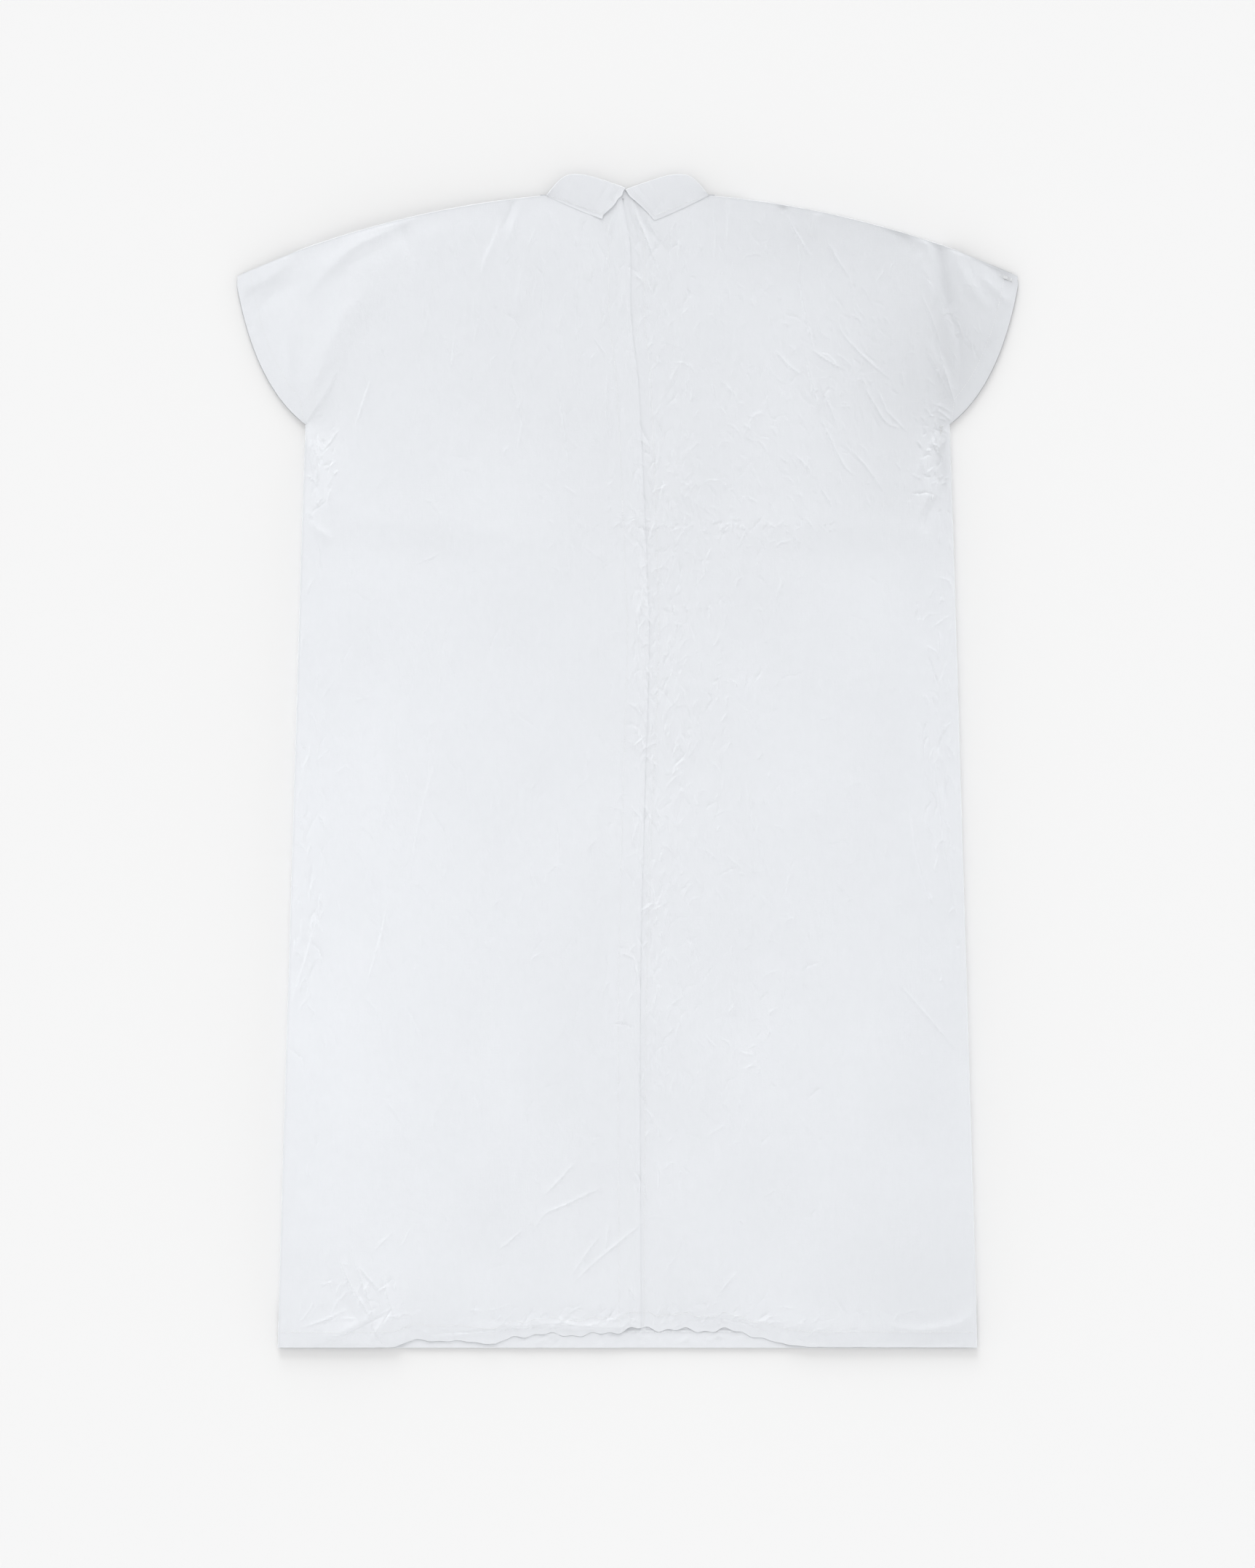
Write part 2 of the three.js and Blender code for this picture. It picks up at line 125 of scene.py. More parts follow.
# ---- Folds and creases: (height, width, lean) in millimetres, then points across and above the hem ----
FOLDS = [
    # drag lines from the collar and the left shoulder
    ((0.8, 4.5, 0.2), [(-108, 1176), (-112, 1160), (-117, 1144), (-124, 1128)]),
    ((-1.0, 4, 0), [(-116, 1174), (-122, 1156), (-130, 1140)]),
    ((1.0, 5, 0.4), [(-128, 1152), (-136, 1132), (-146, 1108), (-150, 1090)]),
    ((0.9, 5, 0), [(-107, 1104), (-110, 1080), (-111, 1052)]),
    ((2.6, 18, 0), [(-336, 950), (-320, 985), (-304, 1022), (-284, 1060), (-256, 1090)]),
    ((1.0, 3.4, 0.5), [(-330, 944), (-318, 962), (-306, 980), (-296, 1000)]),
    ((-1.0, 14, 0), [(-310, 970), (-292, 1000), (-276, 1034), (-256, 1060)]),
    ((1.5, 8, 0.3), [(-322, 1080), (-314, 1092), (-300, 1106), (-280, 1125), (-252, 1138), (-212, 1158)]),
    ((-1.2, 10, 0), [(-300, 1085), (-282, 1108), (-250, 1124), (-214, 1140)]),
    ((1.5, 9, 0.3), [(-398, 1070), (-388, 1084), (-366, 1094), (-338, 1114)]),
    ((-1.4, 12, 0), [(-380, 1060), (-360, 1078), (-336, 1092)]),
    ((1.1, 7, 0), [(-350, 1046), (-347, 1020), (-345, 992), (-340, 970)]),
    ((-1.2, 8, 0), [(-232, 1152), (-224, 1130), (-217, 1110)]),
    # the right sleeve's break and the hollows beside it
    ((-3.4, 7.5, -0.2), [(314, 1142), (319, 1122), (324, 1098), (331, 1060)]),
    ((1.2, 5, 0), [(296, 1120), (304, 1096), (314, 1070)]),
    ((2.4, 8, 0.2), [(330, 1130), (338, 1106), (352, 1082), (372, 1060)]),
    ((-2.8, 8, 0.3), [(322, 1090), (330, 1058), (340, 1026), (341, 990), (338, 950)]),
    ((1.3, 5, 0), [(304, 1034), (314, 1012), (326, 994), (330, 974), (338, 954)]),
    ((-1.8, 10, 0), [(258, 1164), (276, 1142), (292, 1124)]),
    ((1.5, 9, 0), [(286, 1150), (304, 1128), (312, 1108)]),
    ((-2.4, 8, 0), [(356, 1120), (374, 1106), (390, 1088)]),
    ((1.6, 6, 0), [(360, 1096), (374, 1084), (392, 1066)]),
    ((-2.0, 7, 0), [(352, 1000), (362, 1010), (374, 1030)]),
    ((-1.8, 5, 0), [(150, 1180), (157, 1169), (162, 1161)]),
    ((1.0, 6, 0), [(196, 1168), (193, 1150), (188, 1134)]),
    # soft pleats hanging from the notch of the collar
    ((-0.6, 3.4, 0.2), [(6, 1174), (13, 1159), (20, 1140), (26, 1120), (31, 1104)]),
    ((0.6, 4.5, 0), [(1, 1172), (7, 1156), (12, 1138), (15, 1120)]),
    ((-1.0, 5, 0), [(14, 1150), (24, 1141), (36, 1128), (44, 1112)]),
    ((0.9, 4, 0), [(-10, 1162), (-9, 1144), (-6, 1124)]),
    # rumples under the arms
    ((-1.8, 8, 0), [(330, 938), (322, 915), (324, 890), (330, 866)]),
    ((1.2, 6, 0.3), [(314, 932), (306, 905), (308, 876), (300, 850)]),
    ((-1.6, 6, 0), [(318, 872), (306, 852), (304, 832)]),
    ((1.1, 7, 0.2), [(-318, 930), (-310, 905), (-304, 880), (-300, 850)]),
    ((-1.4, 8, 0), [(-328, 922), (-322, 898), (-318, 870)]),
    ((1.2, 6, 0), [(-325, 846), (-316, 836), (-300, 826)]),
    # soft bands across the waist
    ((0.7, 22, 0.2), [(-330, 850), (-239, 843), (-136, 832), (-60, 826)]),
    ((-0.5, 24, 0), [(-310, 815), (-220, 808), (-120, 800)]),
    ((0.6, 20, 0), [(120, 836), (190, 842), (260, 838), (320, 826)]),
    ((-0.5, 22, 0), [(80, 806), (180, 812), (290, 800)]),
    # beside the hem
    ((1.0, 8, 0.3), [(-330, 16), (-304, 14), (-284, 22), (-262, 33)]),
    ((1.2, 4.5, 0.4), [(-318, 2), (-300, 10), (-284, 18), (-262, 32)]),
    ((-1.4, 9, 0), [(-296, 58), (-282, 40), (-266, 14), (-256, 2)]),
    ((1.3, 4.5, 0.3), [(-240, 40), (-246, 30), (-256, 19), (-262, 8)]),
    ((1.6, 8, 0.3), [(358, 44), (343, 28), (323, 22), (296, 19), (262, 24)]),
    ((1.8, 5, 0.4), [(-182, 12), (-146, 18), (-81, 24), (-42, 22), (2, 21), (40, 22)]),
    ((1.2, 14, 0), [(60, 34), (120, 28), (190, 22), (260, 12)]),
    # long soft folds down the skirt
    ((1.1, 16, 0), [(-322, 600), (-318, 480), (-322, 340), (-330, 220)]),
    ((-0.9, 18, 0), [(-280, 620), (-276, 480), (-290, 330)]),
    ((1.0, 18, 0), [(300, 700), (312, 560), (326, 420), (330, 300)]),
    ((-1.0, 16, 0), [(270, 640), (280, 500), (300, 380)]),
    ((0.9, 26, 0), [(-160, 640), (-150, 480), (-165, 300)]),
    ((-0.9, 30, 0), [(120, 640), (130, 440), (110, 260)]),
]
CREASES = [
    # pleats that run down from the collar's notch
    ((1.5, 3.2, 0.5), [(4, 1180), (8, 1159), (15, 1143), (22, 1126), (30, 1106)]),
    ((-1.1, 4.0, 0), [(0, 1172), (4, 1155), (10, 1138), (14, 1122)]),
    ((0.8, 3.0, 0.3), [(14, 1170), (21, 1152), (29, 1138), (38, 1128)]),
    ((0.6, 2.6, 0.3), [(-14, 1158), (-18, 1146), (-20, 1132)]),
    ((0.7, 2.4, 0.4), [(52, 1150), (53, 1136), (52, 1116)]),
    ((0.9, 3.4, 0.4), [(101, 1176), (103, 1152), (101, 1128)]),
    ((0.5, 2.6, 0.3), [(88, 1168), (90, 1140), (89, 1110)]),
    ((0.6, 2.2, 0.4), [(-51, 1098), (-52, 1060), (-50, 1022)]),
    ((0.6, 2.2, 0.4), [(-86, 1110), (-85, 1080), (-88, 1036)]),
    ((0.6, 2.2, 0.4), [(-36, 1034), (-26, 1020), (-16, 1006)]),
    ((0.5, 2.0, 0.3), [(-26, 1066), (-21, 1046)]),
    ((0.6, 2.2, 0.3), [(-94, 1144), (-102, 1124)]),
    ((0.6, 2.4, 0.4), [(-153, 1048), (-156, 1028)]),
    ((0.7, 2.6, 0.4), [(-176, 1034), (-180, 1000)]),
    ((0.8, 3.0, 0.4), [(-262, 990), (-270, 966), (-277, 944)]),
    ((0.7, 2.6, 0.4), [(-72, 990), (-66, 950), (-60, 905)]),
    ((0.6, 2.6, 0.2), [(-120, 990), (-108, 950), (-112, 920)]),
    ((0.6, 2.4, 0.2), [(-20, 1000), (-22, 960), (-16, 930)]),
    ((0.6, 2.2, 0.3), [(10, 1036), (8, 1010)]),
    ((0.6, 2.2, 0.3), [(23, 982), (25, 944)]),
    # the pressed line down the right shoulder and the creases that leave it
    ((0.9, 2.6, 0.5), [(160, 1160), (168, 1146), (176, 1122), (176, 1090), (181, 1059), (189, 1022)]),
    ((0.8, 2.6, -0.4), [(166, 1150), (178, 1130), (186, 1116)]),
    ((0.9, 2.6, 0.5), [(181, 1016), (188, 986), (196, 956)]),
    ((1.0, 2.6, 0.5), [(188, 1020), (202, 1010), (220, 1000)]),
    ((0.9, 2.6, 0.5), [(150, 1020), (164, 1004), (178, 994)]),
    ((1.0, 3.0, 0.5), [(204, 1130), (214, 1112), (226, 1094)]),
    ((0.9, 2.8, 0.5), [(212, 1046), (228, 1026), (246, 1008), (268, 990)]),
    ((1.1, 3.0, 0.5), [(240, 984), (252, 964), (264, 946), (278, 940)]),
    ((0.8, 2.6, -0.4), [(256, 978), (264, 960)]),
    ((0.9, 2.4, 0.5), [(279, 1002), (281, 984)]),
    ((0.8, 2.6, 0.4), [(196, 986), (206, 962), (212, 946)]),
    ((0.8, 2.8, 0.4), [(196, 952), (208, 926), (222, 900), (232, 892)]),
    ((0.8, 2.8, 0.4), [(226, 920), (244, 900), (262, 874)]),
    ((0.7, 2.4, 0.4), [(168, 914), (180, 904), (188, 893)]),
    ((0.6, 2.2, 0.4), [(196, 880), (204, 868), (210, 856)]),
    ((1.2, 3.0, 0.4), [(320, 1010), (328, 986), (337, 960)]),
    ((0.9, 2.6, 0.4), [(306, 1020), (318, 996), (330, 972)]),
    ((0.9, 2.6, 0.4), [(334, 1056), (341, 1038), (342, 1020)]),
    ((0.8, 2.6, 0.4), [(300, 1076), (312, 1048), (320, 1024)]),
    ((1.3, 2.6, 0.2), [(316, 960), (324, 954), (331, 948)]),
    ((1.2, 2.4, 0.2), [(318, 952), (326, 948)]),
    ((1.0, 2.4, 0.2), [(312, 966), (322, 962), (332, 956)]),
    ((0.7, 2.4, 0.4), [(262, 960), (276, 946), (284, 938)]),
    # down the skirt
    ((0.8, 4.0, 0.4), [(-243, 462), (-252, 420), (-267, 370)]),
    ((0.7, 4.0, 0.4), [(-312, 462), (-325, 410), (-343, 352)]),
    ((0.6, 4.0, 0.2), [(-196, 600), (-212, 540), (-222, 480)]),
    ((0.6, 3.0, 0.2), [(-78, 560), (-70, 520), (-72, 470)]),
    ((0.7, 3.4, 0.4), [(276, 374), (302, 344), (333, 308)]),
    ((0.7, 3.0, 0.4), [(305, 640), (317, 568), (325, 501), (340, 420)]),
    ((0.6, 3.0, 0.3), [(288, 560), (296, 500), (312, 450)]),
    ((0.6, 3.2, 0.3), [(120, 590), (132, 520), (150, 470)]),
    # towards the hem
    ((0.9, 2.8, 0.4), [(-54, 68), (-36, 86), (-17, 102), (17, 130)]),
    ((0.8, 2.6, 0.4), [(-57, 74), (-44, 94), (-28, 116)]),
    ((0.7, 2.6, 0.4), [(-22, 102), (-18, 130)]),
    ((0.8, 2.8, 0.4), [(-84, 158), (-70, 172), (-53, 191)]),
    ((0.8, 2.8, 0.4), [(-95, 122), (-84, 138), (-68, 145), (-26, 165)]),
    ((0.7, 2.6, 0.4), [(-132, 101), (-120, 110), (-108, 121)]),
    ((0.6, 2.6, 0.3), [(-258, 101), (-240, 119)]),
    ((0.7, 2.6, 0.4), [(14, 186), (17, 168), (20, 152)]),
    ((0.7, 2.6, 0.4), [(90, 50), (100, 64), (113, 79)]),
    ((0.7, 2.4, 0.4), [(0, 64), (9, 49)]),
    ((1.1, 2.8, 0.5), [(-296, 96), (-284, 67), (-262, 31)]),
    ((1.0, 2.6, 0.5), [(-278, 88), (-268, 59), (-261, 34)]),
    ((0.9, 2.6, 0.5), [(-275, 84), (-264, 71), (-254, 60)]),
    ((1.0, 2.6, 0.5), [(-250, 78), (-246, 56), (-239, 34)]),
    ((0.9, 2.6, 0.4), [(-331, 22), (-310, 29), (-287, 40)]),
    ((-1.2, 2.4, 0.4), [(-309, 5), (-294, 12), (-271, 23), (-246, 35)]),
    ((-1.0, 2.2, 0.4), [(-264, 31), (-254, 8), (-241, 1)]),
    ((-0.9, 2.2, 0.4), [(-239, 44), (-247, 31), (-254, 20)]),
    ((-1.2, 2.2, 0.5), [(-200, 14), (-170, 16), (-143, 18), (-101, 21), (-64, 25)]),
    ((-0.9, 2.0, 0.4), [(60, 27), (90, 30), (118, 26), (150, 14)]),
]

# ---- Fine crinkles: centre and half size in millimetres, how many, direction and spread in degrees,
# length and height in millimetres ----------------------------------------------------------
CRINKLES = [
    ("beside_the_lap", (42, 690), (30, 360), 330, 88, 18, (8, 30), (0.1, 0.3)),
    ("right_chest", (185, 985), (135, 135), 330, 112, 26, (6, 26), (0.08, 0.26)),
    ("under_the_collar", (30, 1105), (95, 55), 90, 95, 16, (10, 36), (0.1, 0.28)),
    ("left_chest", (-120, 1040), (150, 110), 170, 92, 14, (8, 40), (0.06, 0.2)),
    ("waist_line", (80, 838), (130, 5), 90, 80, 40, (3, 9), (0.12, 0.3)),
    ("waist_middle", (70, 850), (130, 90), 120, 105, 35, (6, 20), (0.08, 0.24)),
    ("lower_middle", (90, 340), (110, 250), 220, 80, 26, (8, 30), (0.08, 0.24)),
    ("left_skirt", (-210, 520), (120, 250), 110, 98, 12, (20, 70), (0.06, 0.18)),
    ("left_edge", (-326, 480), (16, 260), 70, 92, 12, (14, 46), (0.12, 0.4)),
    ("right_edge", (322, 620), (22, 210), 100, 88, 20, (8, 32), (0.12, 0.4)),
    ("right_underarm", (314, 920), (14, 60), 60, 105, 35, (6, 20), (0.2, 0.55)),
    ("left_underarm", (-314, 900), (12, 50), 30, 80, 25, (8, 24), (0.15, 0.45)),
    ("right_sleeve", (345, 1040), (34, 60), 50, 120, 28, (6, 26), (0.1, 0.3)),
    ("hem_corner", (-282, 52), (46, 42), 40, 60, 40, (8, 30), (0.12, 0.4)),
    ("along_the_hem", (-20, 26), (330, 16), 150, 14, 30, (8, 30), (0.08, 0.3)),
    ("hem_middle", (20, 26), (190, 9), 110, 40, 50, (5, 18), (0.1, 0.3)),
    ("all_over", (0, 600), (345, 570), 620, 92, 30, (8, 36), (0.05, 0.17)),
    ("lap_line", (22, 640), (14, 400), 190, 90, 14, (10, 34), (0.16, 0.44)),
    ("right_of_the_lap", (80, 720), (60, 220), 120, 80, 30, (8, 26), (0.12, 0.36)),
]
FRONT_CRINKLES = [
    ("all_over", (0, 600), (330, 560), 260, 90, 60, (12, 50), (0.1, 0.3)),
    ("front_hem", (-20, 9), (190, 9), 110, 55, 45, (6, 22), (0.15, 0.42)),
]

# ---- Painted light and shade on the cloth, paler where light falls and darker where shade falls: place across
# and above the hem, reach across and along in millimetres, and the change ------------------------------
PAINTED_LIGHT_AND_SHADE = [
    ((-335, 420), (170, 400), 0.055),
    ((-345, 1080), (70, 70), 0.015),
    ((60, 1000), (260, 260), -0.032),
    ((310, 320), (60, 280), -0.015),
    ((-120, 640), (120, 260), 0.01),
    ((350, 1020), (120, 130), -0.093),
    ((215, 1150), (120, 60), -0.065),
    ((298, 875), (85, 80), -0.04),
    ((20, 1130), (50, 40), -0.02),
    ((-15, 245), (60, 70), -0.02),
    ((320, 60), (110, 80), -0.025),
    ((-60, 50), (260, 50), 0.025),
    ((324, 1075), (11, 50), -0.05),
    ((332, 1000), (16, 60), -0.04),
    ((366, 1015), (28, 50), -0.015),
    ((385, 1096), (13, 12), -0.07),
    ((283, 1135), (22, 12), -0.05),
    ((158, 1165), (6, 6), -0.07),
    ((322, 905), (8, 38), -0.05),
]


# ---- Curves -----------------------------------------------------------------------------
def smooth(t):
    t = np.clip(t, 0, 1)
    return t * t * (3 - 2 * t)


def mix(a, b, t):
    return a + (b - a) * t


def run_along(line):
    """Length from the start of a line to each of its points."""
    return np.concatenate([[0], np.cumsum(np.linalg.norm(np.diff(line, axis=0), axis=1))])


def through(points, count):
    """count points along the Catmull-Rom curve through points, evenly spaced along it."""
    p = np.array(points, float)
    if len(p) == 2:
        return mix(p[0], p[1], np.linspace(0, 1, count)[:, None])
    ends = np.vstack([2 * p[0] - p[1], p, 2 * p[-1] - p[-2]])
    t = np.linspace(0, 1, 16)[:, None]
    line = np.vstack([
        0.5 * (2 * b + (c - a) * t + (2 * a - 5 * b + 4 * c - d) * t**2 + (3 * b - a - 3 * c + d) * t**3)
        for a, b, c, d in zip(ends, ends[1:], ends[2:], ends[3:])
    ])
    gone = run_along(line)
    at = np.linspace(0, gone[-1], count)
    return np.stack([np.interp(at, gone, line[:, k]) for k in range(line.shape[1])], 1)


ROLL = through([(x * MM, COLLAR_TOP - d * MM) for x, d in ROLL_LINE], 400)
LAP = through([(y, x) for y, x in LAP_EDGE], 300)
MOUTH = (lambda t: (1 - t) ** 2 * np.array([[UNDERARM_HALF, UNDERARM_Y]])
         + 2 * t * (1 - t) * np.array([MOUTH_BOW])
         + t**2 * np.array([[SLEEVE_HALF, SLEEVE_TIP_Y]]))(np.linspace(0, 1, 200)[:, None])


def side_half(y):
    """Half the body's width at a height, up to the underarm."""
    t = np.clip((y - HEM_Y) / (UNDERARM_Y - HEM_Y), 0, 1)
    return mix(HEM_HALF, UNDERARM_HALF, t)


def shoulder_y(x):
    s = (np.abs(x) - NECK_HALF) / (SLEEVE_HALF - NECK_HALF)
    drop = SHOULDER_STRAIGHT * s + (1 - SHOULDER_STRAIGHT) * s * s
    return NECK_SIDE_Y - (NECK_SIDE_Y - SLEEVE_TIP_Y) * np.where(s > 0, drop, 0)


def lap_edge(y):
    """Place across of the upper panel's edge."""
    return np.interp((y - HEM_Y) / MM, LAP[:, 0], LAP[:, 1]) * MM


def lap_width(y):
    return mix(*LAP_WIDTH, np.clip((y - HEM_Y) / (NECK_SIDE_Y - HEM_Y), 0, 1))


def hem_rise(x):
    """How far the back's hem has ridden up, with the small uneven pull of its stitching."""
    across = x / MM
    pull = 1 + sum(share * np.sin(across / length + start) for share, length, start in HEM_PULL)
    return np.interp(across, *np.array(HEM_WAVE).T) * pull * MM


# ---- Relief: one height map over the whole gown, which every ply of it shares ---------------------
class Relief:
    """Heights in metres on a fine grid over the gown, added to with folds and creases."""

    STEP = 0.8  # millimetres between the grid's points
    ACROSS, UP = (-412, 412.5), (-12, 1212.5)  # what the grid covers, in millimetres
    FAR = 1e9
    ROUND, SHARP = 1.7, 1.15  # how a ridge falls off: a soft fold and a pressed crease
    FADE = 3.4  # widths from its line to where a ridge has faded out
    END, TAPER = 0.02, 0.6  # a ridge runs out towards its ends
    SCATTER, LIMIT = 0.55, 1.2  # of crinkles, in half sizes of their area
    WANDER = 0.38  # radians by which a crinkle turns at each kink
    TALLER = 1.35
    WIDE, LEAN = (0.9, 1.6), (-0.5, 0.5)  # millimetres and share, of a crinkle

    def __init__(self):
        self.x = np.arange(*self.ACROSS, self.STEP)
        self.y = np.arange(*self.UP, self.STEP)
        self.z = np.zeros((len(self.y), len(self.x)))

    def crease(self, points, height, width, lean=0.0, edge=ROUND, bent=True):
        """A ridge, or a groove below zero, along points; lean makes one flank steeper, and a low edge
        makes it sharper."""
        points = np.array(points, float)
        length = np.linalg.norm(np.diff(points, axis=0), axis=1).sum()
        line = through(points, max(4, int(length / 5))) if bent else points
        reach = self.FADE * width * (1 + abs(lean))
        low, high = line.min(0) - reach, line.max(0) + reach
        cols = (self.x >= low[0]) & (self.x <= high[0])
        rows = (self.y >= low[1]) & (self.y <= high[1])
        if not cols.any() or not rows.any():
            return
        gx, gy = np.meshgrid(self.x[cols], self.y[rows])
        best = np.full(gx.shape, self.FAR)
        side, along = np.zeros(gx.shape), np.zeros(gx.shape)
        count = len(line) - 1
        for k, (a, b) in enumerate(zip(line, line[1:])):
            d = b - a
            t = np.clip(((gx - a[0]) * d[0] + (gy - a[1]) * d[1]) / (d @ d), 0, 1)
            ox, oy = gx - a[0] - t * d[0], gy - a[1] - t * d[1]
            far = np.hypot(ox, oy)
            near = far < best
            best = np.where(near, far, best)
            side = np.where(near, np.sign(d[0] * oy - d[1] * ox), side)
            along = np.where(near, (k + t) / count, along)
        flank = width * (1 + lean * side)
        shape = np.exp(-((best / flank) ** edge))
        taper = np.sin(np.pi * np.clip(along, self.END, 1 - self.END)) ** self.TAPER
        self.z[np.ix_(rows, cols)] += height * MM * shape * taper

    def crinkles(self, rng, centre, half, count, direction, spread, length, height):
        """Short kinked creases scattered over an area, thinning out towards its edge."""
        for _ in range(count):
            place = np.clip(rng.normal(0, self.SCATTER, 2), -self.LIMIT, self.LIMIT) * half + centre
            turn = math.radians(rng.normal(direction, spread))
            run, points = rng.uniform(*length), []
            for _ in range(rng.integers(3, 5)):
                points.append(place)
                step = run / 3 * rng.uniform(0.5, 1.4)
                place = place + step * np.array([math.cos(turn), math.sin(turn)])
                turn += rng.normal(0, self.WANDER)
            tall = self.TALLER * rng.uniform(*height) * rng.choice([1, 1, -1])
            self.crease(points, tall, rng.uniform(*self.WIDE), rng.uniform(*self.LEAN), self.SHARP, False)

    def swell(self, rng, across, along, height):
        """Smooth random undulation, with lumps of that size across and along the gown."""
        wide = len(self.x) * self.STEP / across
        tall = len(self.y) * self.STEP / along
        knots = rng.normal(0, 1, (int(tall) + 3, int(wide) + 3))
        u, v = np.linspace(0, wide, len(self.x)), np.linspace(0, tall, len(self.y))
        i, j = u.astype(int), v.astype(int)
        fu, fv = smooth(u - i), smooth(v - j)
        top = mix(knots[np.ix_(j, i)], knots[np.ix_(j, i + 1)], fu[None, :])
        end = mix(knots[np.ix_(j + 1, i)], knots[np.ix_(j + 1, i + 1)], fu[None, :])
        self.z += height * MM * mix(top, end, fv[:, None])

    def at(self, x, y):
        """Height at places in the frame."""
        u = np.clip((np.asarray(x) / MM - self.x[0]) / self.STEP, 0, len(self.x) - 1.001)
        v = np.clip(((np.asarray(y) - HEM_Y) / MM - self.y[0]) / self.STEP, 0, len(self.y) - 1.001)
        i, j = u.astype(int), v.astype(int)
        fu, fv = u - i, v - j
        low = mix(self.z[j, i], self.z[j, i + 1], fu)
        high = mix(self.z[j + 1, i], self.z[j + 1, i + 1], fu)
        return mix(low, high, fv)


# Lumps: size across and along the gown, and height, in millimetres
BACK_LUMPS = [(150, 190, 0.8), (55, 120, 0.34), (18, 80, 0.1), (9, 30, 0.035)]
FRONT_LUMPS = [(90, 120, 0.18), (30, 80, 0.1)]
FOLD_HEIGHT, FOLD_WIDTH = 0.7, 0.9  # how much of the tables' folds and creases is left after pressing
CREASE_HEIGHT, CREASE_WIDTH = 0.72, 0.52


def lay_cloth():
    """The back's soft undulation, its folds and creases, and the calmer relief of the front below it."""
    rng = np.random.default_rng(7)
    soft, back, front = Relief(), Relief(), Relief()
    for lump in BACK_LUMPS:
        soft.swell(rng, *lump)
    for (height, width, lean), points in FOLDS:
        back.crease(points, FOLD_HEIGHT * height, FOLD_WIDTH * width, lean)
    for (height, width, lean), points in CREASES:
        back.crease(points, CREASE_HEIGHT * height, CREASE_WIDTH * width, lean, Relief.SHARP)
    for _, *area in CRINKLES:
        back.crinkles(rng, *area)
    for lump in FRONT_LUMPS:
        front.swell(rng, *lump)
    for _, *area in FRONT_CRINKLES:
        front.crinkles(rng, *area)
    return soft, back, front


BACK_SWELL, BACK_RELIEF, FRONT_RELIEF = lay_cloth()

# ---- The two faces of the gown as surfaces z(x, y) ---------------------------------------------
SEAM_Z = 2.1 * MM  # height of the seams
SEAM_ROUND = 0.5 * MM  # how far in from a seam its edge is rounded
SEAM_GAP = 0.25 * MM  # from a seam's height to the middle of either ply
SEAM_SLACK = (0.05, 20 * MM)  # share of the height that the cloth only reaches further in, and how far
FRONT_Z = 0.7 * MM
FRONT_LIFT = 1.3 * MM  # how far the front's hem is lifted, from here up to here above it
FRONT_LIFT_RUN = (26 * MM, 66 * MM)
LAP_LIFT = 0.6 * MM  # the upper panel rises over the lower one
LAP_SETTLE = 0.35 * MM  # and the lower one gives
LAP_RUN = 26 * MM
LAP_HOLLOW = 1.75 * MM  # depth of the lower panel below the upper one, and the slope beside it
LAP_SLOPE = 5 * MM
LAP_TURN = (0.6 * MM, 6 * MM)  # drop of the upper panel's edge, and over what width
HOLLOW_START = (-0.6 * MM, 2.5 * MM)  # past the upper panel's edge: down the lap, and at the neck
HOLLOW_NECK = (14 * MM, 12 * MM)  # below the neck where it begins to change, and over what height
HEM_DROP = (4.8 * MM, 50 * MM)  # the back comes down to the front towards its hem
HEM_REST = 3.1 * MM  # height of the hem where it has ridden up that far, and its reach
HEM_RIDDEN = 7 * MM
HEM_REACH = 22 * MM
MOUTH_REST = 2.7 * MM  # height of the back at a sleeve's mouth, its fade and where it ends
MOUTH_FADE = 52 * MM
MOUTH_REACH = 240 * MM
LOWEST_BACK, LEAST_ROOM = 2.9 * MM, 0.15 * MM
FOLDS_IN, SWELL_IN, FOLDS_UP = 5 * MM, 28 * MM, 10 * MM  # the relief grows in from the seams and the hem


def seam_distance(x, y):
    """Distance to the nearest side or shoulder seam, where front and back are joined."""
    ax = np.abs(x)
    side = np.where(y <= UNDERARM_Y, side_half(y) - ax, np.hypot(ax - UNDERARM_HALF, y - UNDERARM_Y))
    over = np.where(ax >= NECK_HALF, (shoulder_y(ax) - y) * 0.97,
                    np.hypot(NECK_HALF - ax, NECK_SIDE_Y - y))
    return np.maximum(np.minimum(side, over), 0)


def round_off(d):
    return np.sqrt(1 - (1 - np.clip(d / SEAM_ROUND, 0, 1)) ** 2)


def mouth_distance(x, y):
    """Distance from a sleeve's mouth line, up to MOUTH_REACH."""
    ax, y = np.broadcast_arrays(np.abs(x), y)
    far = np.full(ax.shape, MOUTH_REACH)
    near = (ax > UNDERARM_HALF - MOUTH_REACH) & (y > UNDERARM_Y - MOUTH_REACH)
    px, py = ax[near], y[near]
    best = np.full(px.shape, MOUTH_REACH)
    for (x0, y0), (x1, y1) in zip(MOUTH[:-1:8], [*MOUTH[8::8], MOUTH[-1]]):
        dx, dy = x1 - x0, y1 - y0
        t = np.clip(((px - x0) * dx + (py - y0) * dy) / (dx * dx + dy * dy), 0, 1)
        best = np.minimum(best, np.hypot(px - x0 - t * dx, py - y0 - t * dy))
    far[near] = best
    return far


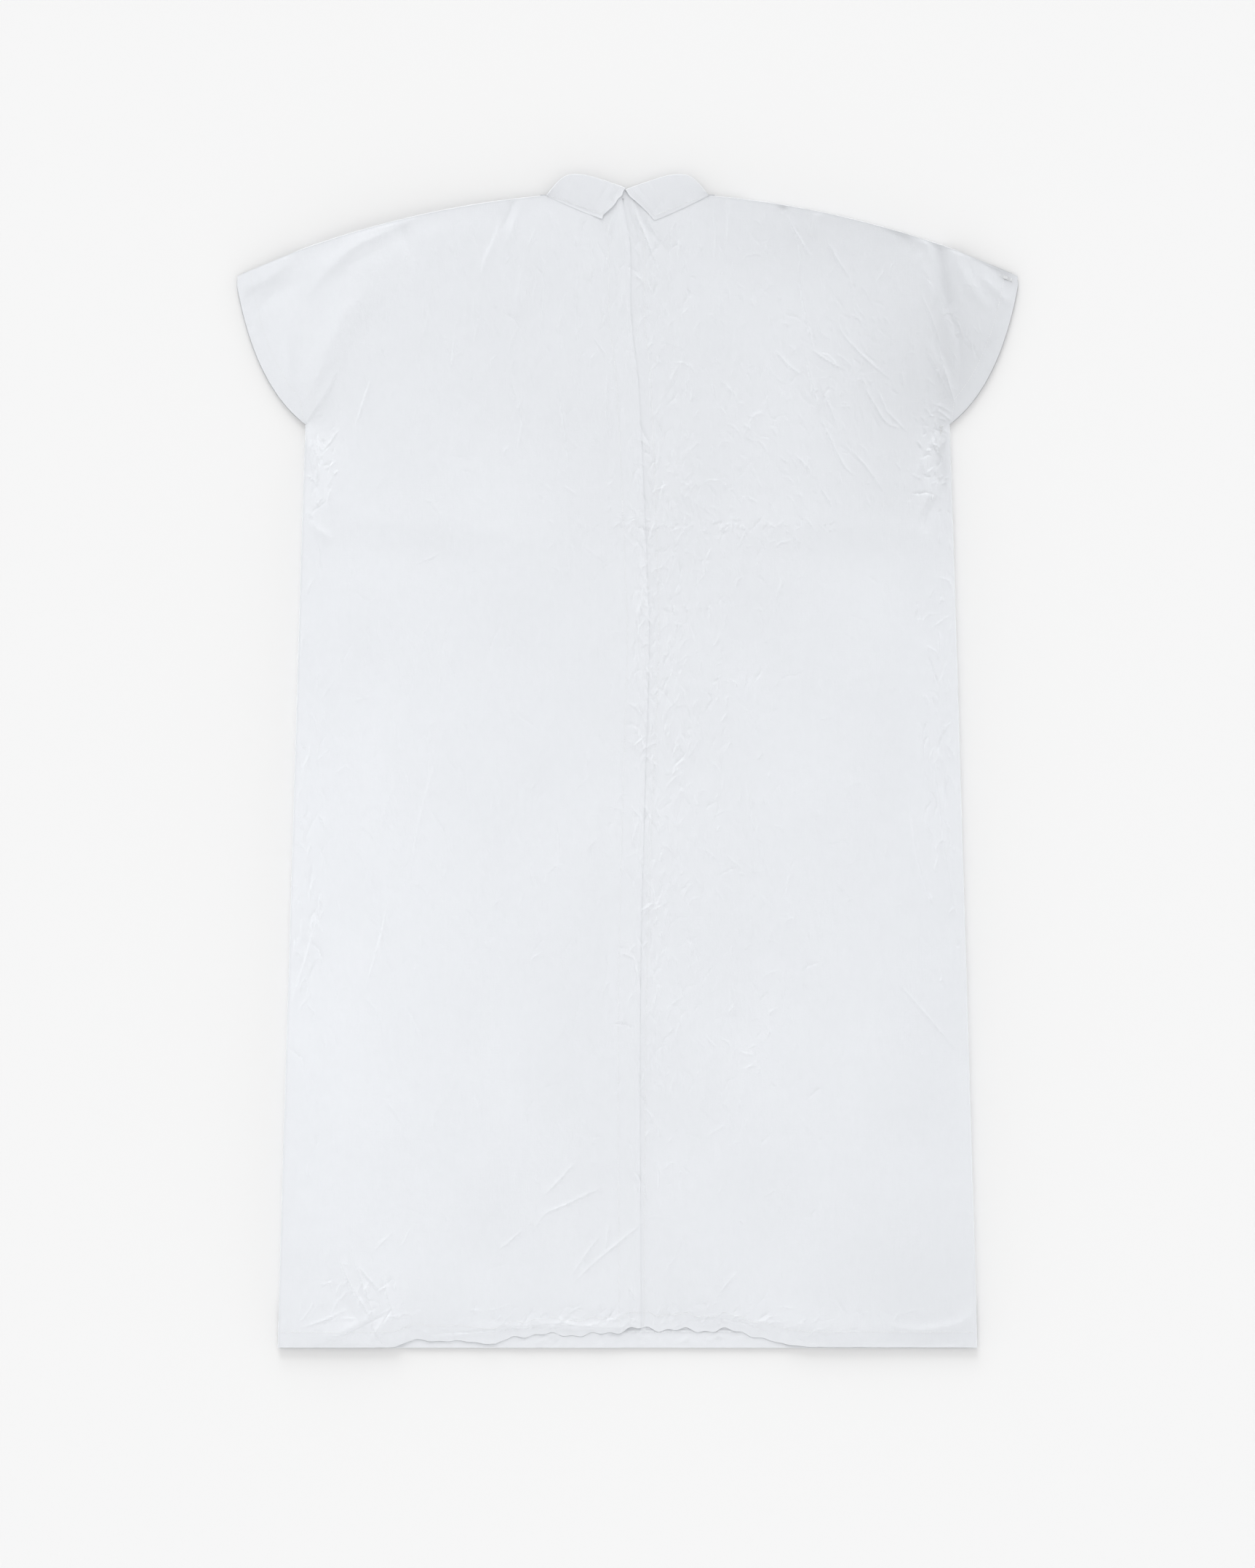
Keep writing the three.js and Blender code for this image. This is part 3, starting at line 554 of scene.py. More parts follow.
def back_surface(x, y, lap=None):
    """Middle of the back cloth; lap lifts the left panel over the right one, which is hollowed below it."""
    d = seam_distance(x, y)
    rise = hem_rise(x)
    above = np.maximum(y - HEM_Y - rise, 0)
    level = BACK_Z - HEM_DROP[0] * np.exp(-above / HEM_DROP[1]) + 0 * x
    level = mix(level, HEM_REST, smooth(rise / HEM_RIDDEN) * np.exp(-above / HEM_REACH))
    close = np.exp(-mouth_distance(x, y) / MOUTH_FADE) - math.exp(-MOUTH_REACH / MOUTH_FADE)
    level = mix(level, MOUTH_REST, close)
    edge = lap_edge(y)
    if lap == "left":
        level = level + LAP_LIFT * smooth(1 + (x - edge + lap_width(y)) / LAP_RUN)
        level = level - LAP_TURN[0] * smooth(1 + (x - edge) / LAP_TURN[1])
    elif lap == "right":
        level = level - LAP_SETTLE * smooth(1 - (x - edge) / LAP_RUN)
        start = mix(*HOLLOW_START, smooth((y - NECK_SIDE_Y + HOLLOW_NECK[0]) / HOLLOW_NECK[1]))
        level = level - LAP_HOLLOW * smooth((edge + start - x) / LAP_SLOPE)
    slack, slack_reach = SEAM_SLACK
    share = (1 - slack) * round_off(d) + slack * (1 - np.exp(-d / slack_reach))
    base = SEAM_Z + SEAM_GAP + (level - SEAM_Z - SEAM_GAP) * share
    fold = BACK_RELIEF.at(x, y) * smooth(d / FOLDS_IN) + BACK_SWELL.at(x, y) * smooth(d / SWELL_IN)
    fold = fold * smooth(above / FOLDS_UP + 0.4)
    room = np.maximum(base - LOWEST_BACK, LEAST_ROOM)
    return base + np.where(fold < 0, -room * np.tanh(-fold / room), fold)


def front_surface(x, y):
    """Middle of the front cloth, which lies on the floor and is lifted a little along its hem."""
    until, end = FRONT_LIFT_RUN
    lift = FRONT_LIFT * smooth((end - (y - HEM_Y)) / (end - until))
    low = FRONT_Z + np.maximum(FRONT_RELIEF.at(x, y), -0.25 * MM) + lift
    seam = SEAM_Z - SEAM_GAP
    return seam - (seam - low) * round_off(seam_distance(x, y))


def slope_normal(surface, x, y):
    """Unit normals of a surface, taken from the heights just beside each point."""
    step = 0.25 * MM
    dx = (surface(x + step, y) - surface(x - step, y)) / (2 * step)
    dy = (surface(x, y + step) - surface(x, y - step)) / (2 * step)
    normal = np.stack([-dx, -dy, np.ones_like(dx)], -1)
    return normal / np.linalg.norm(normal, axis=-1, keepdims=True)


PAINTED_EDGE_SHADE = (0.1, 1.7 * MM)  # painted shade: how much greyer and how far in, at the left and shoulder edges
# painted shade along the shoulders: how much greyer and how far in
PAINTED_SHOULDER_SHADE = (0.03, 11 * MM)


def painted_light_and_shade_at(x, y):
    """Painted light and shade at a place: paler or greyer by the patches, and the seamed edges greyer with
    painted shade.
    """
    across, up = np.asarray(x) / MM, (np.asarray(y) - HEM_Y) / MM
    d = seam_distance(x, y)
    shoulder = smooth((y - UNDERARM_Y) / (60 * MM))
    # painted shade: the left edges and the shoulders greyer
    edge = -PAINTED_EDGE_SHADE[0] * np.exp(-((d / PAINTED_EDGE_SHADE[1]) ** 2)) * np.maximum(np.asarray(x) < 0, shoulder)
    edge = edge - PAINTED_SHOULDER_SHADE[0] * np.exp(-((d / PAINTED_SHOULDER_SHADE[1]) ** 2)) * shoulder
    return edge + sum(change * np.exp(-(((across - cx) / rx) ** 2) - ((up - cy) / ry) ** 2)
                      for (cx, cy), (rx, ry), change in PAINTED_LIGHT_AND_SHADE)


# ---- Meshes -----------------------------------------------------------------------------
def spaced(length, pitch, fine_start=(), fine_end=()):
    """Places from 0 to length a pitch apart, with closer ones at either end."""
    start = [f * MM for f in fine_start]
    end = [length - f * MM for f in fine_end]
    a = start[-1] if start else 0
    b = end[0] if end else length
    middle = np.linspace(a, b, max(2, int(round((b - a) / pitch)) + 1))
    return np.concatenate([start[:-1], middle, end[1:]])


def make_mesh(name, vertices, faces, material, uv=None, normals=None, tone=None):
    """A piece from its vertices and its faces; faces is a list, or an array where each has four corners."""
    mesh = bpy.data.meshes.new(name)
    vertices = np.asarray(vertices, float)
    if isinstance(faces, np.ndarray):
        mesh.vertices.add(len(vertices))
        mesh.vertices.foreach_set("co", vertices.ravel())
        mesh.loops.add(faces.size)
        mesh.loops.foreach_set("vertex_index", faces.ravel().astype(np.int32))
        mesh.polygons.add(len(faces))
        mesh.polygons.foreach_set("loop_start", np.arange(0, faces.size, 4, dtype=np.int32))
        mesh.update(calc_edges=True)
    else:
        mesh.from_pydata(vertices.tolist(), [], faces)
    mesh.polygons.foreach_set("use_smooth", np.ones(len(mesh.polygons), bool))
    if uv is not None:
        layer = mesh.uv_layers.new(name="Cut")
        corner = np.zeros(len(mesh.loops), np.int32)
        mesh.loops.foreach_get("vertex_index", corner)
        layer.data.foreach_set("uv", np.asarray(uv, float)[corner].ravel())
    # the Tone attribute holds painted light and shade
    if tone is not None:
        mesh.attributes.new("Tone", "FLOAT", "POINT").data.foreach_set("value", tone.astype(np.float32))
    mesh.materials.append(material)
    mesh.update()
    if normals is not None:
        mesh.normals_split_custom_set_from_vertices(normals)
    piece = bpy.data.objects.new(name, mesh)
    bpy.context.scene.collection.objects.link(piece)
    return piece


def grid_normals(points):
    """Unit normals at the points of a grid, from their neighbours."""
    down, across = np.gradient(points, axis=0), np.gradient(points, axis=1)
    normal = np.cross(across, down)
    size = np.linalg.norm(normal, axis=2, keepdims=True)
    return np.where(size > 1e-12, normal / np.maximum(size, 1e-12), [0.0, 0.0, 1.0])


def grid(name, x, y, z, material, thickness, uv=None, normals=None, painted_light=0.0):
    """A closed sheet of cloth of a thickness, about rows and columns of points, painted paler where it is
    given painted light.
    """
    points = np.stack([x, y, z], 2)
    rows, cols = x.shape
    own = grid_normals(points)
    if normals is None:
        normals = own
    elif (normals * own).sum() < 0:
        normals = -normals
    half = normals * (thickness + 0 * z)[..., None] / 2
    vertices = np.vstack([(points + half).reshape(-1, 3), (points - half).reshape(-1, 3)])
    index = np.arange(rows * cols).reshape(rows, cols)
    over = np.stack([index[:-1, :-1], index[:-1, 1:], index[1:, 1:], index[1:, :-1]], 2).reshape(-1, 4)
    ring = np.concatenate([index[0, :], index[1:, -1], index[-1, -2::-1], index[-2:0:-1, 0]])
    after = np.roll(ring, -1)
    count = rows * cols
    rim = np.stack([ring, ring + count, after + count, after], 1)
    faces = np.vstack([over, over[:, ::-1] + count, rim])
    if uv is None:
        uv = np.stack([x.ravel(), y.ravel()], 1)
    shading = np.vstack([normals.reshape(-1, 3), -normals.reshape(-1, 3)])
    # painted light and shade by place, plus the painted light given to the piece
    tone = np.tile((painted_light_and_shade_at(x, y) + painted_light).ravel(), 2)
    return make_mesh(name, vertices, faces, material, np.vstack([uv, uv]), shading, tone)


def cut_plan(along, down):
    """Places of a grid's points on its flat cut, from the lengths along its rows and down its columns."""
    return np.stack([np.tile(along, len(down)), np.repeat(down, len(along))], 1)


def surface_area(points):
    """Area of a sheet given by its rows and columns of points."""
    one, other = points[1:, 1:] - points[:-1, :-1], points[1:, :-1] - points[:-1, 1:]
    return np.linalg.norm(np.cross(one, other), axis=2).sum() / 2


def plan_area(x, y):
    return surface_area(np.stack([x, y, 0 * x], 2))


LEAST_SIDE, LEAST_SHARE = 10 * MM, 0.31


def declare(wide, tall, area):
    """Works out a sheet's size and area from what it was cut to, and keeps neither."""
    wide, tall = (round(max(float(side), LEAST_SIDE), 4) for side in (wide, tall))
    area = min(max(float(area), LEAST_SHARE * wide * tall), wide * tall)


def follow(piece, where, side="left"):
    """Joins a piece to its body; a piece on a panel or sleeve only has its place baked into its mesh."""
    sign = -1 if side == "left" else 1
    if where == "panel":
        joint = JOINTS[f"{side}_flap_fold"]
        (px, py, pz), (ax, ay, _) = joint["pos_m"], joint["axis"]
        across = np.array([ay, -ax]) / math.hypot(ax, ay)
        if across[0] * sign > 0:
            across = -across
        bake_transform(piece)
    elif where == "sleeve":
        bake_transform(piece)
    elif where == "flap":
        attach(piece, f"back_{side}_flap")
    else:
        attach(piece, "gown")


def fit(piece, where, side="left", nodes=()):
    """Hides the nodes that a piece stands for and hands it to follow, for the body that it follows."""
    if nodes:
        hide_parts(*nodes)
    follow(piece, where, side)


# ---- Materials --------------------------------------------------------------------------
WAVE_TURN = 20  # radians that a wave texture turns in one unit of its scale


def new_material(name, **sockets):
    """A material with its shader's sockets set, spaces in their names as underscores."""
    material = bpy.data.materials.new(name)
    material.use_nodes = True
    shader = material.node_tree.nodes["Principled BSDF"]
    for socket, value in sockets.items():
        shader.inputs[socket.replace("_", " ")].default_value = value
    return material, material.node_tree.nodes, material.node_tree.links, shader


def cloth_material(name, settings, tint, weave_mm, crinkle, mottle=0.5):
    """Plain-weave cotton: threads over and under, with painted shade where they dip, slubs, a faint
    unevenness of tone and small crinkles; a Tone attribute adds painted light and shade by place.
    """
    material, nodes, links, shader = new_material(
        name, Roughness=settings.roughness, Sheen_Weight=settings.sheen, Sheen_Roughness=0.6,
        Specular_IOR_Level=0.07)
    cut = nodes.new("ShaderNodeUVMap")
    cut.uv_map = "Cut"

    def wave(direction):
        node = nodes.new("ShaderNodeTexWave")
        node.wave_type, node.bands_direction, node.wave_profile = "BANDS", direction, "SIN"
        node.inputs["Scale"].default_value = 2 * math.pi / (WAVE_TURN * weave_mm * MM)
        node.inputs["Distortion"].default_value = 0.6
        node.inputs["Detail Scale"].default_value = 0.2
        links.new(cut.outputs["UV"], node.inputs["Vector"])
        return node.outputs["Fac"]

    def noise(scale, stretch, detail=3.0):
        place = nodes.new("ShaderNodeMapping")
        place.inputs["Scale"].default_value = (stretch[0], stretch[1], 1)
        links.new(cut.outputs["UV"], place.inputs["Vector"])
        node = nodes.new("ShaderNodeTexNoise")
        node.inputs["Scale"].default_value = scale
        node.inputs["Detail"].default_value = detail
        links.new(place.outputs["Vector"], node.inputs["Vector"])
        return node.outputs["Fac"]

    def maths(operation, a, b):
        node = nodes.new("ShaderNodeMath")
        node.operation = operation
        for socket, value in zip(node.inputs, (a, b)):
            if isinstance(value, (int, float)):
                socket.default_value = value
            else:
                links.new(value, socket)
        return node.outputs[0]

    def bump(height, distance, strength, under=None):
        node = nodes.new("ShaderNodeBump")
        node.inputs["Distance"].default_value = distance
        node.inputs["Strength"].default_value = strength
        links.new(height, node.inputs["Height"])
        if under is not None:
            links.new(under, node.inputs["Normal"])
        return node.outputs["Normal"]

    warp, weft = wave("X"), wave("Y")
    over = maths("MULTIPLY", warp, weft)
    under = maths("MULTIPLY", maths("SUBTRACT", 1.0, warp), maths("SUBTRACT", 1.0, weft))
    weave = maths("ADD", over, under)
    slub = maths("ADD", noise(900, (1, 0.05)), noise(900, (0.05, 1)))
    clouds = noise(9, (1, 1), 4.0)
    rough_tone = noise(160, (1, 0.5), 5.0)

    tone = maths("ADD", maths("MULTIPLY", clouds, mottle), maths("MULTIPLY", rough_tone, 0.25))
    # the weave darkens the colour where its threads dip: painted shade between the threads
    tone = maths("ADD", tone, maths("MULTIPLY", weave, 0.3))
    ramp = nodes.new("ShaderNodeValToRGB")
    deep = [c * settings.shade for c in tint]
    ramp.color_ramp.elements[0].position, ramp.color_ramp.elements[0].color = 0.15, (*deep, 1)
    ramp.color_ramp.elements[1].position, ramp.color_ramp.elements[1].color = 0.85, (*tint, 1)
    links.new(tone, ramp.inputs["Fac"])
    # painted light and shade from the Tone attribute scales the colour, paler or darker by place
    painted_shade_attribute = nodes.new("ShaderNodeAttribute")
    painted_shade_attribute.attribute_name = "Tone"
    paler = nodes.new("ShaderNodeVectorMath")
    paler.operation = "SCALE"
    links.new(ramp.outputs["Color"], paler.inputs[0])
    links.new(maths("ADD", painted_shade_attribute.outputs["Fac"], 1.0), paler.inputs["Scale"])
    links.new(paler.outputs["Vector"], shader.inputs["Base Color"])

    normal = bump(noise(120, (1, 0.45), 6.0), 1.4 * MM, crinkle)
    normal = bump(slub, 0.12 * MM, 0.5, normal)
    normal = bump(weave, 0.1 * MM, 0.5, normal)
    links.new(normal, shader.inputs["Normal"])
    return material


def plain_material(name, tint, pattern, dark, relief, **sockets):
    """A finish with one pattern for its tone and its relief: the pattern's node kind and settings, how dark
    its low parts are (painted shade in a thread's twist; a stud's own flow mark), and the distance and
    strength of its relief."""
    material, nodes, links, shader = new_material(name, **sockets)
    kind, settings = pattern
    place, node = nodes.new("ShaderNodeTexCoord"), nodes.new(kind)
    if kind == "ShaderNodeTexWave":
        node.bands_direction = "DIAGONAL"
    for socket, value in settings.items():
        node.inputs[socket].default_value = value
    links.new(place.outputs["Object"], node.inputs["Vector"])
    ramp = nodes.new("ShaderNodeValToRGB")
    ramp.color_ramp.elements[0].color = (*[c * dark for c in tint], 1)
    ramp.color_ramp.elements[1].color = (*tint, 1)
    links.new(node.outputs["Fac"], ramp.inputs["Fac"])
    links.new(ramp.outputs["Color"], shader.inputs["Base Color"])
    bump = nodes.new("ShaderNodeBump")
    bump.inputs["Distance"].default_value, bump.inputs["Strength"].default_value = relief
    links.new(node.outputs["Fac"], bump.inputs["Height"])
    links.new(bump.outputs["Normal"], shader.inputs["Normal"])
    return material


def thread_material(name, tint):
    """Spun sewing thread: a slanting twist along each stitch, darker in the twist's grooves as painted
    shade.
    """
    twist = ("ShaderNodeTexWave", {"Scale": 900, "Distortion": 1.5})
    return plain_material(name, tint, twist, 0.84, (0.1 * MM, 0.6), Roughness=0.6, Sheen_Weight=0.2)


def stud_material(name, tint):
    """Moulded press-stud plastic with a faint flow mark."""
    flow = ("ShaderNodeTexNoise", {"Scale": 400})
    return plain_material(name, tint, flow, 0.93, (0.05 * MM, 0.3), Roughness=0.35, Coat_Weight=0.2)


def finish_of(name):
    """The finishes, each made once, from the colours in the panel."""
    if name in bpy.data.materials:
        return bpy.data.materials[name]
    look = bpy.context.scene.gown_finish
    made = {
        "gown_cotton": lambda: cloth_material(name, look, look.cloth, 0.55, 0.22),
        "collar_cotton": lambda: cloth_material(name, look, look.collar, 0.5, 0.12, 0.35),
        "hem_cotton": lambda: cloth_material(name, look, look.cloth, 0.55, 0.15),
        "seam_cotton": lambda: cloth_material(name, look, look.tape, 0.6, 0.2),
        "interlining_felt": lambda: cloth_material(name, look, look.felt, 1.1, 0.35, 0.6),
        "white_thread": lambda: thread_material(name, look.thread),
        "stud_plastic": lambda: stud_material(name, look.stud),
    }
    return made[name]()


# ---- Stitches ---------------------------------------------------------------------------
SIDES = 6  # of a stitch
STATIONS = np.array([0, 0.12, 0.5, 0.88, 1])  # places along a stitch, with its girth and its height there
GIRTH = np.array([0.35, 0.9, 1, 0.9, 0.35])
SINK = np.array([-0.5, -0.1, 0.25, -0.1, -0.5])


def stitches(name, lines, where, side="left", pitch=2.6 * MM, radius=0.24 * MM, gap=0.22):
    """Rows of lockstitches: each line is points in space, and each stitch a tapered bead that dips at
    both ends."""
    ring = np.linspace(0, 2 * math.pi, SIDES, endpoint=False)
    vertices, faces = [], []
    for line in lines:
        line = np.asarray(line, float)
        gone = run_along(line)
        count = max(1, int(gone[-1] / pitch))
        for k in range(count):
            at = gone[-1] * (k + gap / 2 + (1 - gap) * STATIONS) / count
            core = np.stack([np.interp(at, gone, line[:, i]) for i in range(3)], 1)
            along = core[-1] - core[0]
            along /= max(np.linalg.norm(along), 1e-9)
            beside = np.cross(along, (0, 0, 1))
            beside /= max(np.linalg.norm(beside), 1e-9)
            up = np.cross(beside, along)
            base = len(vertices)
            for centre, girth, sink in zip(core, GIRTH, SINK):
                for a in ring:
                    offset = beside * math.cos(a) * girth + up * (math.sin(a) * girth * 0.8 + sink)
                    vertices.append(centre + radius * offset)
            last = base + (len(STATIONS) - 1) * SIDES
            for r in range(base, last, SIDES):
                for a in range(SIDES):
                    p, q = r + a, r + (a + 1) % SIDES
                    faces.append((p, q, q + SIDES, p + SIDES))
            faces.append(tuple(base + a for a in reversed(range(SIDES))))
            faces.append(tuple(last + a for a in range(SIDES)))
    fit(make_mesh(name, vertices, faces, finish_of("white_thread")), where, side)


def on_surface(x, y, surface, lift=0.3 * MM):
    return np.stack([x, y, surface(x, y) + lift], 1)


# ---- Turned edges: hems and facings -----------------------------------------------------------
TURNING_BELOW, TURNING_THICKNESS = 0.38 * MM, 0.26 * MM
ROUND_THE_EDGE = [(-0.12, 0.32), (-0.2, 0.16), (-0.15, 0.04)]  # millimetres in from the edge and below it


def turned_edge(name, edge, inward, width, surface, material, facing_down=True, wrap=True):
    """Cloth turned under along an edge, lying below the panel for its width and rounding the edge with
    wrap. edge and inward are (n, 2) arrays of places and directions, width a number or an array of n."""
    sign = -1 if facing_down else 1
    width = np.broadcast_to(width, len(edge))
    xs, ys, zs, cut = [], [], [], []
    nearest = 0.03 if wrap else 0.1
    for f in np.linspace(1, nearest, 10):
        p = edge + inward * (f * width)[:, None]
        xs.append(p[:, 0]), ys.append(p[:, 1])
        zs.append(surface(p[:, 0], p[:, 1]) + sign * TURNING_BELOW)
        cut.append(f * width)
    for out, drop in ROUND_THE_EDGE if wrap else ():
        p = edge + inward * out * MM
        xs.append(p[:, 0]), ys.append(p[:, 1])
        zs.append(surface(edge[:, 0], edge[:, 1]) + sign * drop * MM)
        cut.append(np.full(len(edge), out * MM))
    x, y, z, cut = map(np.array, (xs, ys, zs, cut))
    uv = np.stack([np.tile(run_along(edge), len(x)), cut.ravel()], 1)
    return grid(name, x, y, z, material, TURNING_THICKNESS, uv)


# ---- Settings ---------------------------------------------------------------------------
def tint(label, about, default):
    return bpy.props.FloatVectorProperty(name=label, description=about, default=default,
                                         size=3, min=0, max=1, subtype="COLOR")


def number(label, about, default, **kind):
    return bpy.props.FloatProperty(name=label, description=about, default=default, **kind)


def length(label, about, default):
    return number(label, about, default, min=0, unit="LENGTH", precision=5)


class GownCut(bpy.types.PropertyGroup):
    pitch: length("Cloth grid", "Distance between the points of the back panels' mesh", 1.35 * MM)
    front_pitch: length("Front grid", "Distance between the points of the front's mesh", 4.5 * MM)
    cloth: length("Cloth thickness", "Thickness of one ply", 0.4 * MM)
    hem: length("Hem", "Width of the turned hems", 18 * MM)
    facing: length("Facing", "Width of the facing beside the back opening", 25 * MM)
    stitch: length("Stitch", "Length of one stitch with its gap", 2.6 * MM)
    collar_stitch: length("Collar stitch line", "Distance of the collar's topstitching from its edge",
                          4.5 * MM)


class GownFinish(bpy.types.PropertyGroup):
    cloth: tint("Cloth", "Bleached cotton with a blue cast", (0.79, 0.808, 0.838))
    collar: tint("Collar", "The collar's cotton", (0.785, 0.802, 0.832))
    tape: tint("Tape", "Seam allowances and binding", (0.8, 0.815, 0.83))
    felt: tint("Interlining", "Non-woven interlining", (0.84, 0.84, 0.82))
    thread: tint("Thread", "Sewing thread", (0.84, 0.85, 0.86))
    stud: tint("Studs", "Moulded press studs", (0.86, 0.86, 0.84))
    shade: number("Shade", "How dark the deepest mottle is", 0.93)
    roughness: number("Roughness", "Roughness of the cotton", 0.82)
    sheen: number("Sheen", "Fuzz on the cotton", 0.06)


class GownStage(bpy.types.PropertyGroup):
    floor: tint("Floor", "Colour of the floor", (0.862, 0.862, 0.862))
    sky: number("Sky", "Strength of the even light", 0.82)
    rim: number("Rim", "How much stronger the even light is low down", 6.0)
    sun: number("Sun", "Strength of the soft key light", 1.6)
    sun_height: number("Key height", "Height of the key light", math.radians(17), subtype="ANGLE")
    sun_from: number("Key from", "Direction of the key light, from +X", math.radians(98), subtype="ANGLE")
    sun_angle: number("Key size", "How soft the key light is", math.radians(29), subtype="ANGLE")
    lens: number("Lens", "Focal length", 85, unit="CAMERA")
    view_height: length("View height", "Length of floor that the view takes in", 1.6007)
    view_y: number("View centre", "Middle of the view, up from the gown's", -23 * MM, unit="LENGTH")


# ---- Rows that the body and the sleeves share ---------------------------------------------------
BORDER_TOP = float(shoulder_y(UNDERARM_HALF))


def border_rows(bottom, pitch, hem_rows):
    """Heights of the rows at the border of body and sleeve, and which of them is at the underarm."""
    low = bottom + spaced(UNDERARM_Y - bottom, pitch, hem_rows, (1.2, 0.4, 0))
    high = UNDERARM_Y + spaced(BORDER_TOP - UNDERARM_Y, pitch, (0, 0.4, 1.2), SEAM_ROWS)
    return np.concatenate([low, high[1:]]), len(low) - 1


# Distances in millimetres of the closer rows from an edge
BACK_HEM_ROWS = (0, 0.5, 1.2, 2.2)
FRONT_HEM_ROWS = (0, 0.9)
SEAM_ROWS = (8.5, 6.2, 4.4, 3.1, 2.1, 1.4, 0.95, 0.65, 0.4, 0.2, 0.06)


FRONT_BOTTOM = HEM_Y + 0.5 * MM
HEM_END = 3 * MM  # how far before the side seam a hem's turning ends
TURN_IN = 1 * MM  # cloth folded under at the turning's own edge
STITCHED_IN = 2 * MM  # from a turning's edge to its stitching
THREAD_OVER_HEM = 0.8 * MM  # above the front, whose turnings lie inside, on top


# ---- Front ------------------------------------------------------------------------------
def front_top(x):
    """Upper edge of the front: the neckline between the neck sides, the shoulders beyond."""
    inside = np.clip(1 - (x / NECK_HALF) ** 2, 0, 1)
    return np.where(np.abs(x) < NECK_HALF, NECK_SIDE_Y - FRONT_NECK_DROP * np.sqrt(inside), shoulder_y(x))


class GOWN_OT_front(bpy.types.Operator):
    """Front panel in one piece, with the neckline cut out and the bottom hem turned"""

    bl_idname = "gown.front"
    bl_label = "Front"

    def execute(self, context):
        cut = context.scene.gown_cut
        half = spaced(UNDERARM_HALF - NECK_HALF, cut.front_pitch, (0,) + SEAM_ROWS[::-1])
        neck = NECK_HALF * np.cos(np.linspace(0, math.pi, 73))[1:-1]
        columns = np.concatenate([-UNDERARM_HALF + half, neck[::-1], UNDERARM_HALF - half[::-1]])
        bottom = FRONT_BOTTOM
        edge, _ = border_rows(bottom, cut.front_pitch, FRONT_HEM_ROWS)
        rows = (edge - bottom) / (BORDER_TOP - bottom)
        y = bottom + rows[:, None] * (front_top(columns) - bottom)[None, :]
        x = columns[None, :] * side_half(y) / UNDERARM_HALF
        piece = grid("front_panel_cloth", x, y, front_surface(x, y), finish_of("gown_cotton"), cut.cloth,
                     normals=slope_normal(front_surface, x, y))
        declare(np.ptp(x), np.ptp(y), plan_area(x, y))
        fit(piece, "gown", nodes=["front_panel"])

        end = HEM_HALF - HEM_END
        across = np.linspace(-end, end, 220)
        line = np.stack([across, np.full_like(across, bottom)], 1)
        up = np.tile([0.0, 1.0], (len(across), 1))
        hem = turned_edge("front_hem_turning", line, up, cut.hem, front_surface,
                          finish_of("hem_cotton"), facing_down=False)
        declare(np.ptp(across), cut.hem + TURN_IN, np.ptp(across) * cut.hem)
        fit(hem, "gown", nodes=["front_hem"])
        row = np.full_like(across, bottom + cut.hem - STITCHED_IN)
        stitches("front_hem_stitching", [on_surface(across, row, front_surface, THREAD_OVER_HEM)], "gown",
                 pitch=cut.stitch)
        return {"FINISHED"}


# ---- Back -------------------------------------------------------------------------------
def back_bottom(x):
    return HEM_Y + 0.4 * MM + hem_rise(x)


def back_top(x):
    return np.where(np.abs(x) < NECK_HALF, NECK_SIDE_Y, shoulder_y(x))


def back_of(side):
    """The back's surface on one side of the lap."""
    return lambda x, y: back_surface(x, y, side)


def panel_edge(side, y):
    """Edge of a back panel beside the opening."""
    return lap_edge(y) if side == "left" else lap_edge(y) - lap_width(y)


